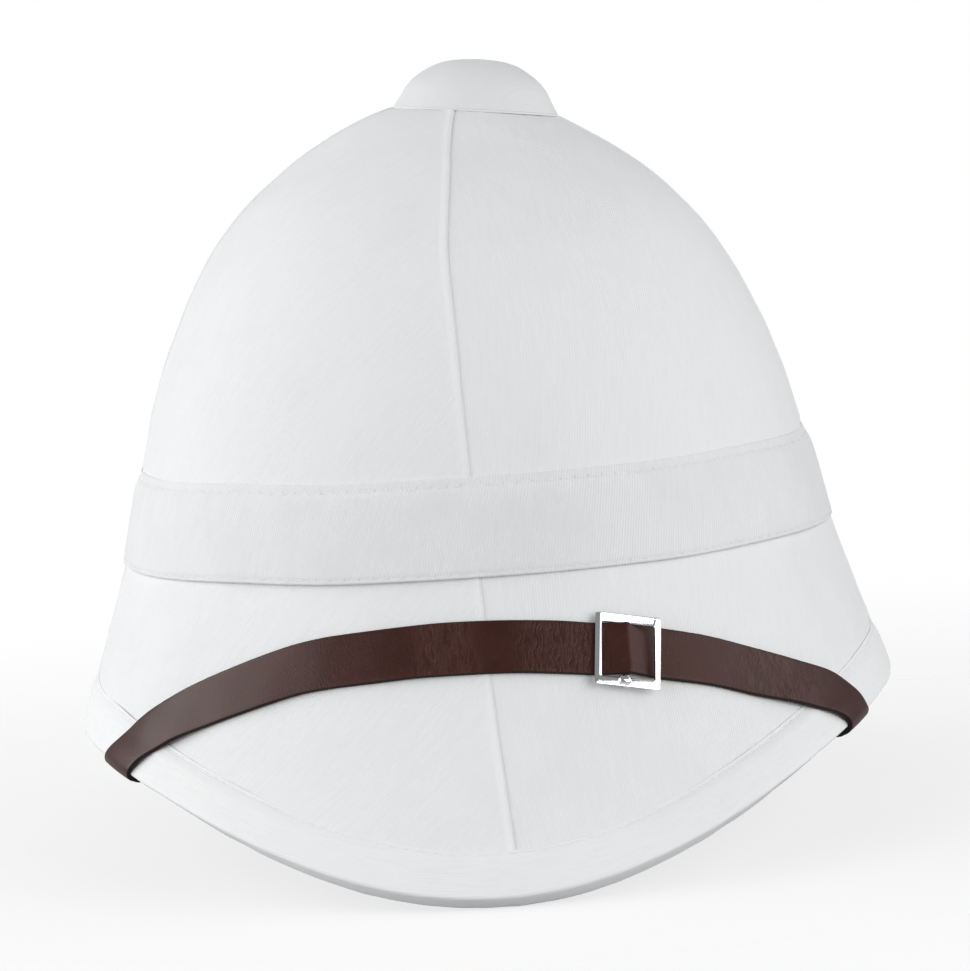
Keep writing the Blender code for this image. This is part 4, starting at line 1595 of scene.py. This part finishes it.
@dataclass(eq=False)
class StrapRoute:
    """Middle line of the chin strap on the brim's wall, and the surface of a strap laid along it."""

    form: HelmetForm
    rows: tuple[Pair, ...] = (
        (-73.8, -0.0455), (-64.4, -0.0234), (-59.9, 0.0000), (-51.4, 0.0212),
        (-39.5, 0.0421), (-26.5, 0.0616), (-13.3, 0.0733), (-1.5, 0.0772),
        (9.5, 0.0740), (20.5, 0.0649), (31.3, 0.0515), (41.0, 0.0358),
        (49.8, 0.0213), (56.2, 0.0095), (58.4, 0.0000), (59.8, -0.0105),
        (62.8, -0.0252), (71.8, -0.0475),
    )
    edge_lift: float = 0.0013
    bulge: float = 0.0009
    bulge_run: float = 0.0075
    bulge_reach: float = 0.0050
    edge_ramp: float = 0.0160
    inner_lift: float = 0.0006
    skew_flat: float = 0.009
    skew_ramp: float = 0.022
    buckle_angle: float = 20.5
    rise: float = 0.0019
    rise_reach: float = 0.0076
    rise_top: float = 1.06
    rise_bend: float = 0.06
    rise_foot: float = 0.15
    samples: int = 30

    def line(self, position: Array) -> tuple[Array, Array, Array, Array]:
        """Follow the strap's middle line.

        Args:
            position: Fractional rows of the route.

        Returns:
            Angle and run, and their change for one metre across the strap.
        """
        form, table = self.form, np.array(self.rows)
        last, step = len(table) - 1, form.table_step
        here = blend_rows(table, position)
        slope = blend_rows(table, np.minimum(position + step, last))
        slope = slope - blend_rows(table, np.maximum(position - step, 0))
        angle, run = np.radians(here[..., 0]), here[..., 1]
        d_angle, d_run = np.radians(slope[..., 0]), slope[..., 1]
        height = np.maximum(np.abs(run), form.half_turn + form.angle_step)
        around = form.skin(angle + step, height, 0.0) - form.skin(angle - step, height, 0.0)
        around = around / (2 * step)
        upward = (form.skin(angle, height + step, 0.0) - form.skin(angle, height, 0.0)) / step
        first, second = np.sum(around * around, -1), np.sum(upward * upward, -1)
        mixed = np.sum(around * upward, -1) * np.clip(run / form.half_turn, -1, 1)
        across_angle = -(mixed * d_angle + second * d_run)
        across_run = first * d_angle + mixed * d_run
        size = first * across_angle**2 + 2 * mixed * across_angle * across_run + second * across_run**2
        return angle, run, across_angle / np.sqrt(size), across_run / np.sqrt(size)

    def lift(self, run: Array, from_buckle: Array) -> Array:
        """Lift of the strap off the wall, over the bound edge and over the buckle's bar.

        Args:
            run: Distance round the wall's section.
            from_buckle: Distance along the strap from the buckle's middle.

        Returns:
            Distance of the strap's underside off the wall.
        """
        form = self.form
        width = np.where(run > 0, form.binding_width, form.inner_binding_width)
        rest = np.where(run > 0, form.gap, self.inner_lift)
        past = np.clip((np.abs(run) - form.half_turn - width) / self.edge_ramp, 0, 1)
        fall = 0.5 - 0.5 * np.cos(math.pi * past)
        slope = self.rise_top - np.hypot(from_buckle / self.rise_reach, self.rise_bend)
        rise = (slope + np.hypot(slope, self.rise_foot)) / 2
        bulge = self.bulge * bell(run - self.bulge_run, self.bulge_reach)
        return self.edge_lift + (rest - self.edge_lift) * fall + self.rise * rise + bulge

    @cached_property
    def lengths(self) -> TwoArrays:
        """Positions along the route, and the distance along the strap at each one."""
        positions = np.arange(self.samples * (len(self.rows) - 1) + 1) / self.samples
        angle, run, _, _ = self.line(positions)
        points = self.form.skin(angle, run, self.lift(run, np.ones_like(run)))
        return positions, column_lengths(points)

    @cached_property
    def length(self) -> float:
        """Length of the strap's middle line."""
        return float(self.lengths[1][-1])

    @cached_property
    def crossings(self) -> list[Pair]:
        """Distances where the strap crosses the edge, with the skew that lays a row along the edge."""
        positions, distances = self.lengths
        _, runs, _, across_run = self.line(positions)
        found = []
        for i in np.flatnonzero((runs[:-1] < 0) != (runs[1:] < 0)):
            along = (runs[i + 1] - runs[i]) / (distances[i + 1] - distances[i])
            found.append((float(distances[i]), float(-across_run[i] / along)))
        return found

    @cached_property
    def buckle_distance(self) -> float:
        """Distance along the strap at the buckle's middle."""
        positions, distances = self.lengths
        angles = blend_rows(np.array(self.rows), positions)[:, 0]
        return float(distances[np.argmin(np.abs(angles - self.buckle_angle))])

    def skew(self, distance: Array) -> Array:
        """Skew of the mesh's columns, which lie along the edge where the strap crosses it.

        Args:
            distance: Distance along the strap.

        Returns:
            Shift along the strap of the column there, for one metre across it.
        """
        total = np.zeros_like(distance)
        for crossing, edge_skew in self.crossings:
            away = np.clip((np.abs(distance - crossing) - self.skew_flat) / self.skew_ramp, 0, 1)
            total += edge_skew * (0.5 + 0.5 * np.cos(math.pi * away))
        return total

    def point(self, distance: Array, across: Array, extra: Array) -> Array:
        """Points of a strap.

        Args:
            distance: Distance along the strap.
            across: Distance across it, positive towards the crown on the outer face.
            extra: Distance off the strap's underside.

        Returns:
            Points, on the broadcast shape of the three.
        """
        distance, across, extra = np.broadcast_arrays(distance, across, extra)
        along = distance + self.skew(distance) * across
        positions, distances = self.lengths
        inside = np.clip(along, 0, distances[-1])
        angle, run, across_angle, across_run = self.line(np.interp(inside, distances, positions))
        angle, run = angle + across_angle * across, run + across_run * across
        return self.form.skin(angle, run, self.lift(run, along - self.buckle_distance) + extra)

    def place(self, distance: float) -> Matrix:
        """Frame on the wall under the strap.

        Args:
            distance: Distance along the strap.

        Returns:
            Frame whose axes run along the strap, across it and off the wall.
        """
        positions, distances = self.lengths
        angle, run, _, _ = self.line(np.interp(np.array([distance]), distances, positions))
        origin = Vector(self.form.skin(angle, run, 0.0)[0])
        z_axis = (Vector(self.form.skin(angle, run, 1.8 * MM)[0]) - origin).normalized()
        ends = self.point(np.array([distance + MM, distance - MM]), 0.0, 0.0)
        first = Vector(ends[0] - ends[1])
        x_axis = (first - z_axis * first.dot(z_axis)).normalized()
        turn = Matrix((x_axis, z_axis.cross(x_axis), z_axis)).transposed().to_4x4()
        return Matrix.Translation(origin) @ turn


@dataclass
class ChinStrap:
    """Brown leather strap from rivet to rivet, over the peak and round the edge on each side."""

    route: StrapRoute
    finish: Leather
    width: float = 15.4 * MM
    upward: float = 0.55 * MM
    thickness: float = 1.3 * MM
    edge_radius: float = 0.26 * MM
    crowning: float = 0.06 * MM
    unevenness: float = 0.07 * MM
    crease: float = 0.10 * MM
    crease_reach: float = 0.9 * MM
    width_change: float = 0.008
    width_waves: float = 210.0
    stations: int = 640

    def build(self) -> None:
        """Strap in one closed piece."""
        across, extra, around = self._section()
        distance = np.linspace(0, self.route.length, self.stations)
        wavering = np.sin(distance * self.width_waves + np.sign(across)[:, None])
        sides = across[:, None] * (1 + self.width_change * wavering) + self.upward
        points = self.route.point(distance[None, :], sides, extra[:, None])
        face = ease(0.5 * self.thickness, self.thickness, extra)[:, None]
        beneath = self.route.point(distance[None, :], sides, extra[:, None] - 0.4 * MM)
        uneven = Ripple(0.018, 51)(points) * self.unevenness
        crease = self.crease * bell(distance - self.route.buckle_distance, self.crease_reach)
        points = points + unit(points - beneath) * ((uneven + crease) * face)[..., None]
        grid = Grid(points, wrap_rows=True, wrap_columns=False)
        loop = np.append(around, around[0])
        grid.add_map("strap", np.stack(np.broadcast_arrays(distance[None, :], loop[:, None]), axis=-1))
        item = grid.build("leather_strap", sharp_angle=60.0, caps=True)
        dress(item, self.finish.material(), ["chin_strap"])

    def _section(self) -> ThreeArrays:
        """Closed section: distance across, height off the underside, and distance round it."""
        half, top, radius = self.width / 2, self.thickness, self.edge_radius
        turn = np.linspace(0, math.pi / 2, 5)
        inner, sine, cosine = half - radius, radius * np.sin(turn), radius * np.cos(turn)
        face = np.linspace(inner, -inner, 15)
        crown = self.crowning * (1 - (face / half) ** 2)
        back = np.linspace(-inner, inner, 9)[1:]
        parts = (
            (face, top + crown),
            (-inner - sine[1:], top - radius + cosine[1:]),
            (-inner - cosine, radius - sine),
            (back, 0 * back),
            (inner + sine[1:], radius - cosine[1:]),
            (inner + cosine[:-1], top - radius + sine[:-1]),
        )
        across, extra = (np.concatenate(values) for values in zip(*parts))
        steps = np.hypot(np.diff(across), np.diff(extra))
        around = inner - np.concatenate([[0.0], np.cumsum(steps)])
        total = 2 * (self.width + self.thickness) - 8 * radius + 2 * math.pi * radius
        around = np.where(around < -total / 2, around + total, around)
        return across, extra, around


@dataclass(frozen=True)
class BuckleBar:
    """Bar with rounded edges, in millimetres from the buckle's middle."""

    middle: Triple
    size: Triple
    radius: float
    steps: int = 4

    def shape(self) -> TwoArrays:
        """Vertices, in metres, and faces."""
        half = np.array(self.size) / 2
        radius = min(self.radius, *(half * 0.98))
        turn = np.linspace(0, math.pi / 2, self.steps)
        low = -half[:, None] + radius * (1 - np.cos(turn))
        high = half[:, None] - radius * (1 - np.cos(turn[::-1]))
        side = np.concatenate([low, high], axis=1)
        count = side.shape[1]
        square = Grid(np.zeros((count, count, 3)), wrap_columns=False).quads()[:, [1, 2, 3, 0]]
        points, faces = [], []
        for axis in range(3):
            first, second = (axis + 1) % 3, (axis + 2) % 3
            for sign in (-1, 1):
                face = np.empty((count, count, 3))
                face[..., axis] = sign * half[axis]
                face[..., first], face[..., second] = side[first][:, None], side[second]
                faces.append((square if sign > 0 else square[:, ::-1]) + len(points) * count**2)
                points.append(face.reshape(-1, 3))
        outer = np.concatenate(points)
        core = np.clip(outer, -half + radius, half - radius)
        rounded = (core + unit(outer - core) * radius + self.middle) * MM
        merged, index = np.unique(np.round(rounded, 8), axis=0, return_inverse=True)
        return merged, index.reshape(-1)[np.concatenate(faces)]


@dataclass
class StrapBuckle:
    """Square slide buckle: a bevelled frame, and a bar across its middle that the strap passes over."""

    route: StrapRoute
    finish: Metal
    width: float = 18.5 * MM
    height: float = 21.7 * MM
    window_width: float = 14.7 * MM
    window_height: float = 16.8 * MM
    underside: float = 2.8 * MM
    top: float = 4.1 * MM
    top_bar: float = 2.85 * MM
    corner: float = 0.9 * MM
    corner_steps: int = 5
    corner_narrowing: float = 0.45
    ridge_bias: tuple[float, float, float, float] = (0.75, 0.25, 0.42, 2.0)
    ridge_fall: float = 0.24 * MM
    sharp_angle: float = 28.0
    shift: Triple = (0.0, -0.31 * MM, 0.10 * MM)
    turn: Triple = (math.radians(0.4), math.radians(-5.0), math.radians(-5.4))
    bars: tuple[BuckleBar, ...] = (
        BuckleBar((0.0, 0.0, 1.25), (2.0, 20.6, 1.3), 0.45),
        BuckleBar((-0.9, -9.3, 2.95), (3.7, 2.6, 3.2), 1.1),
        BuckleBar((0.0, 9.3, 2.3), (3.0, 2.4, 2.2), 0.5),
    )

    def build(self) -> None:
        """Buckle in one piece of four closed parts."""
        place = self.route.place(self.route.buckle_distance) @ Matrix.Translation(self.shift)
        place = place @ Euler(self.turn).to_matrix().to_4x4()
        parts = [self._frame(), *(bar.shape() for bar in self.bars)]
        vertices = np.concatenate([points for points, _ in parts])
        faces, first = [], 0
        for points, quads in parts:
            faces += (quads + first).tolist()
            first += len(points)
        item = add_mesh("slide_buckle", placed(vertices, place), faces, sharp_angle=self.sharp_angle)
        dress(item, self.finish.material(), ["strap_buckle"])

    def _ring(self, inset: float, level: float) -> Array:
        """Rounded rectangle of the frame's section.

        Args:
            inset: Share of the bars' width from the outside.
            level: Height.

        Returns:
            Points once round.
        """
        left, right, bottom, top = (inset**bias for bias in self.ridge_bias)
        side_bar, low_bar = (self.width - self.window_width) / 2, (self.height - self.window_height) / 2
        low = np.array([left * side_bar - self.width / 2, bottom * low_bar - self.height / 2])
        high = np.array([self.width / 2 - right * side_bar, self.height / 2 - top * self.top_bar])
        radius = self.corner * (1 - self.corner_narrowing * inset)
        reach, middle = (high - low) / 2 - radius, (high + low) / 2
        turn = np.linspace(0, math.pi / 2, self.corner_steps + 1)
        points = []
        for quarter, signs in enumerate(((1, -1), (1, 1), (-1, 1), (-1, -1))):
            angle = turn + (quarter - 1) * math.pi / 2
            corner = middle + reach * signs
            points.append(corner + radius * np.stack([np.cos(angle), np.sin(angle)], axis=-1))
        flat = np.concatenate(points)
        return np.column_stack([flat, np.full(len(flat), level)])

    def _frame(self) -> TwoArrays:
        """Frame with a roof-shaped section: vertices and faces."""
        low, high = self.underside, self.top
        section = (
            (0.08, low), (0.0, low + 0.10 * MM), (0.0, low + 0.40 * MM), (0.04, low + 0.52 * MM),
            (0.46, high - 0.04 * MM), (0.50, high), (0.54, high - 0.04 * MM),
            (0.97, low + 0.62 * MM), (1.0, low + 0.50 * MM), (1.0, low + 0.10 * MM), (0.92, low),
        )
        rings = np.array([self._ring(inset, level) for inset, level in section])
        ridge = np.array([level > high - 0.1 * MM for _, level in section])
        fall = np.maximum(rings[ridge, :, 0] / self.width, -rings[ridge, :, 1] / self.height)
        rings[ridge, :, 2] -= self.ridge_fall * ease(0.30, 0.40, fall)
        return rings.reshape(-1, 3), Grid(rings, wrap_rows=True).quads()[:, ::-1]


class Side(Enum):
    """Ends of the strap, seen from the front."""

    LEFT = "left"
    RIGHT = "right"


@dataclass
class StrapRivet:
    """Round-headed rivet through a strap's end into the brim's wall."""

    route: StrapRoute
    finish: Metal
    inset: float = 9.0 * MM
    head_radius: float = 4.5 * MM
    head_thickness: float = 1.4 * MM
    shank_radius: float = 1.6 * MM
    depth: float = 2.6 * MM
    strap: float = 2.7 * MM
    rounding: float = 0.2 * MM
    segments: int = 40

    def build(self, side: Side) -> None:
        """One rivet.

        Args:
            side: End of the strap that it holds.
        """
        distance = self.inset if side is Side.LEFT else self.route.length - self.inset
        turn = np.linspace(0, math.pi / 2, 9)
        head, shank, rounding = self.head_radius, self.shank_radius, self.rounding
        fall = 0.75 * self.head_thickness * (1 - np.cos(turn))
        dome = np.column_stack([head * np.sin(turn), self.strap + self.head_thickness - fall])
        rim = [
            (head, self.strap + rounding),
            (head - 0.75 * rounding, self.strap + 0.25 * rounding),
            (shank + rounding, self.strap),
            (shank, self.strap - rounding),
            (shank, rounding - self.depth),
            (shank - rounding, -self.depth),
            (0.0, -self.depth),
        ]
        profile = np.concatenate([dome, rim])
        grid, _ = turned(profile, self.route.place(distance), self.segments)
        item = grid.build(f"rivet_{side.value}", sharp_angle=40.0)
        dress(item, self.finish.material(), [f"strap_rivet_{side.value}"])


# Studio -------------------------------------------------------------------------------------------


@dataclass
class PictureCamera:
    """Camera at the photograph's viewing angle."""

    target: Triple = (0.0032, -0.004, 0.0974)
    distance: float = 1.350
    elevation: float = math.radians(5.0)
    roll: float = math.radians(4.0)
    focal_pixels: float = 4470.0
    sensor: float = 36.0

    def build(self) -> None:
        """Add the camera and make it the scene's."""
        away = Vector((0.0, -math.cos(self.elevation), math.sin(self.elevation)))
        right = (-away).cross(Vector((0, 0, 1))).normalized()
        up = right.cross(-away)
        rolled_right = right * math.cos(self.roll) - up * math.sin(self.roll)
        rolled_up = right * math.sin(self.roll) + up * math.cos(self.roll)
        data = bpy.data.cameras.new("picture_camera")
        data.sensor_width = self.sensor
        data.lens = self.focal_pixels * self.sensor / max(PICTURE_SIZE)
        data.clip_start = 0.01
        camera = add_item("picture_camera", data)
        turn = Matrix((rolled_right, rolled_up, away)).transposed().to_4x4()
        camera.matrix_world = Matrix.Translation(Vector(self.target) + away * self.distance) @ turn
        bpy.context.scene.camera = camera


@dataclass(frozen=True)
class SoftLight:
    """Square soft light that faces the helmet."""

    name: str
    place: Triple
    size: float
    watts: float

    def build(self, target: Vector) -> None:
        """Add the light.

        Args:
            target: Point that it is turned towards.
        """
        data = bpy.data.lights.new(self.name, "AREA")
        data.shape = "SQUARE"
        data.size = self.size
        data.energy = self.watts
        item = add_item(self.name, data)
        item.location = self.place
        item.rotation_euler = (target - Vector(self.place)).to_track_quat("-Z", "Y").to_euler()


@dataclass
class Studio:
    """Pale floor, white backdrop and soft lights."""

    lights: tuple[SoftLight, ...] = (
        SoftLight("left_light", (-1.5, 0.13, 0.68), 1.6, 21.4),
        SoftLight("front_left_light", (-1.1, -1.1, 0.5), 1.2, 8.0),
        SoftLight("right_light", (1.5, 0.0, 0.75), 1.4, 8.8),
        SoftLight("front_right_light", (1.1, -1.1, 0.5), 1.2, 12.6),
        SoftLight("back_light", (0.0, 1.75, 0.45), 1.4, 5.5),
    )
    target: Triple = (0.0, 0.0, 0.1)
    backdrop: tuple[float, float, float, float] = (1.0, 1.0, 1.0, 1.0)
    daylight: tuple[float, float, float, float] = (0.97, 0.985, 1.0, 1.0)
    world_light: float = 0.26
    floor_half: float = 0.8

    def build(self) -> None:
        """Add floor, world and lights."""
        scene = bpy.context.scene
        scene.view_settings.view_transform = "Standard"
        scene.view_settings.look = "None"
        square = np.array([(-1, -1, 0), (1, -1, 0), (1, 1, 0), (-1, 1, 0)]) * self.floor_half
        floor = add_mesh("floor", square, [(0, 1, 2, 3)])
        floor.data.materials.append(PaleFloor().material())
        for light in self.lights:
            light.build(Vector(self.target))
        world = bpy.data.worlds.new("studio")
        world.use_nodes = True
        scene.world = world
        bench = NodeBench(world.node_tree)
        seen = bench.node("ShaderNodeLightPath").outputs["Is Camera Ray"]
        shown, lit = (
            bench.node("ShaderNodeBackground", None, {"Color": colour, "Strength": strength}).outputs[0]
            for colour, strength in ((self.backdrop, 1.0), (self.daylight, self.world_light))
        )
        mix = bench.node("ShaderNodeMixShader", None, {0: seen, 1: lit, 2: shown})
        bench.node("ShaderNodeOutputWorld", None, {"Surface": mix.outputs[0]})


# Whole helmet -------------------------------------------------------------------------------------


@dataclass
class PithHelmet:
    """Every piece of the helmet, in the order in which it is made."""

    form: HelmetForm = field(default_factory=HelmetForm)
    cover_cloth: Cloth = Cloth(
        "cover_cloth",
        line_shade=0.32,
        relief=0.075 * MM,
        marks=Marks.SEAM,
    )
    band_cloth: Cloth = Cloth(
        "band_cloth",
        stitch_pitch=4.4 * MM,
        line_shade=0.75,
        pitch=0.82 * MM,
    )
    binding_cloth: Cloth = Cloth(
        "binding_cloth",
        Weave.RIB,
        pitch=0.9 * MM,
        stitch_pitch=4.2 * MM,
        line_shade=0.14,
        relief=0.05 * MM,
        needle_shade=0.2,
    )
    cap_cloth: Cloth = Cloth(
        "cap_cloth",
        # Painted shade: a darker copy of the white cover cloth, for the shade on the helmet's top.
        light=(0.750, 0.755, 0.760),
        dark=(0.66, 0.67, 0.68),
        line_shade=0.12,
        relief=0.04 * MM,
        marks=Marks.NONE,
    )
    buckle_metal: Metal = Metal("chrome")
    rivet_metal: Metal = Metal(
        "rivet_metal",
        bright=(0.62, 0.60, 0.57),
        dull=(0.35, 0.33, 0.31),
        polish=0.28,
        tarnish=0.6,
    )

    def build(self) -> None:
        """Build every piece."""
        thread = Thread().material()
        tree = StitchTree()
        cap = VentilatorCap(self.form, self.cap_cloth)
        Cover(self.form, self.cover_cloth, cap.place).build()
        HatBand(self.form, self.band_cloth).build(tree, thread)
        EdgeBinding(self.form, self.binding_cloth).build(tree, thread)
        cap.build()
        route = StrapRoute(self.form)
        ChinStrap(route, Leather()).build()
        StrapBuckle(route, self.buckle_metal).build()
        rivet = StrapRivet(route, self.rivet_metal)
        for side in Side:
            rivet.build(side)


def corners(box: Any) -> list[list[float]]:
    """Box as plain lists of numbers."""
    return [[float(x) for x in corner] for corner in box]


def main() -> None:
    """Build the helmet, the studio and the camera."""
    logging.basicConfig(level=logging.INFO, format="%(message)s")
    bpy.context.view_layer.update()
    PictureCamera().build()
    PithHelmet().build()
    Studio().build()


if __name__ == "__main__":
    main()
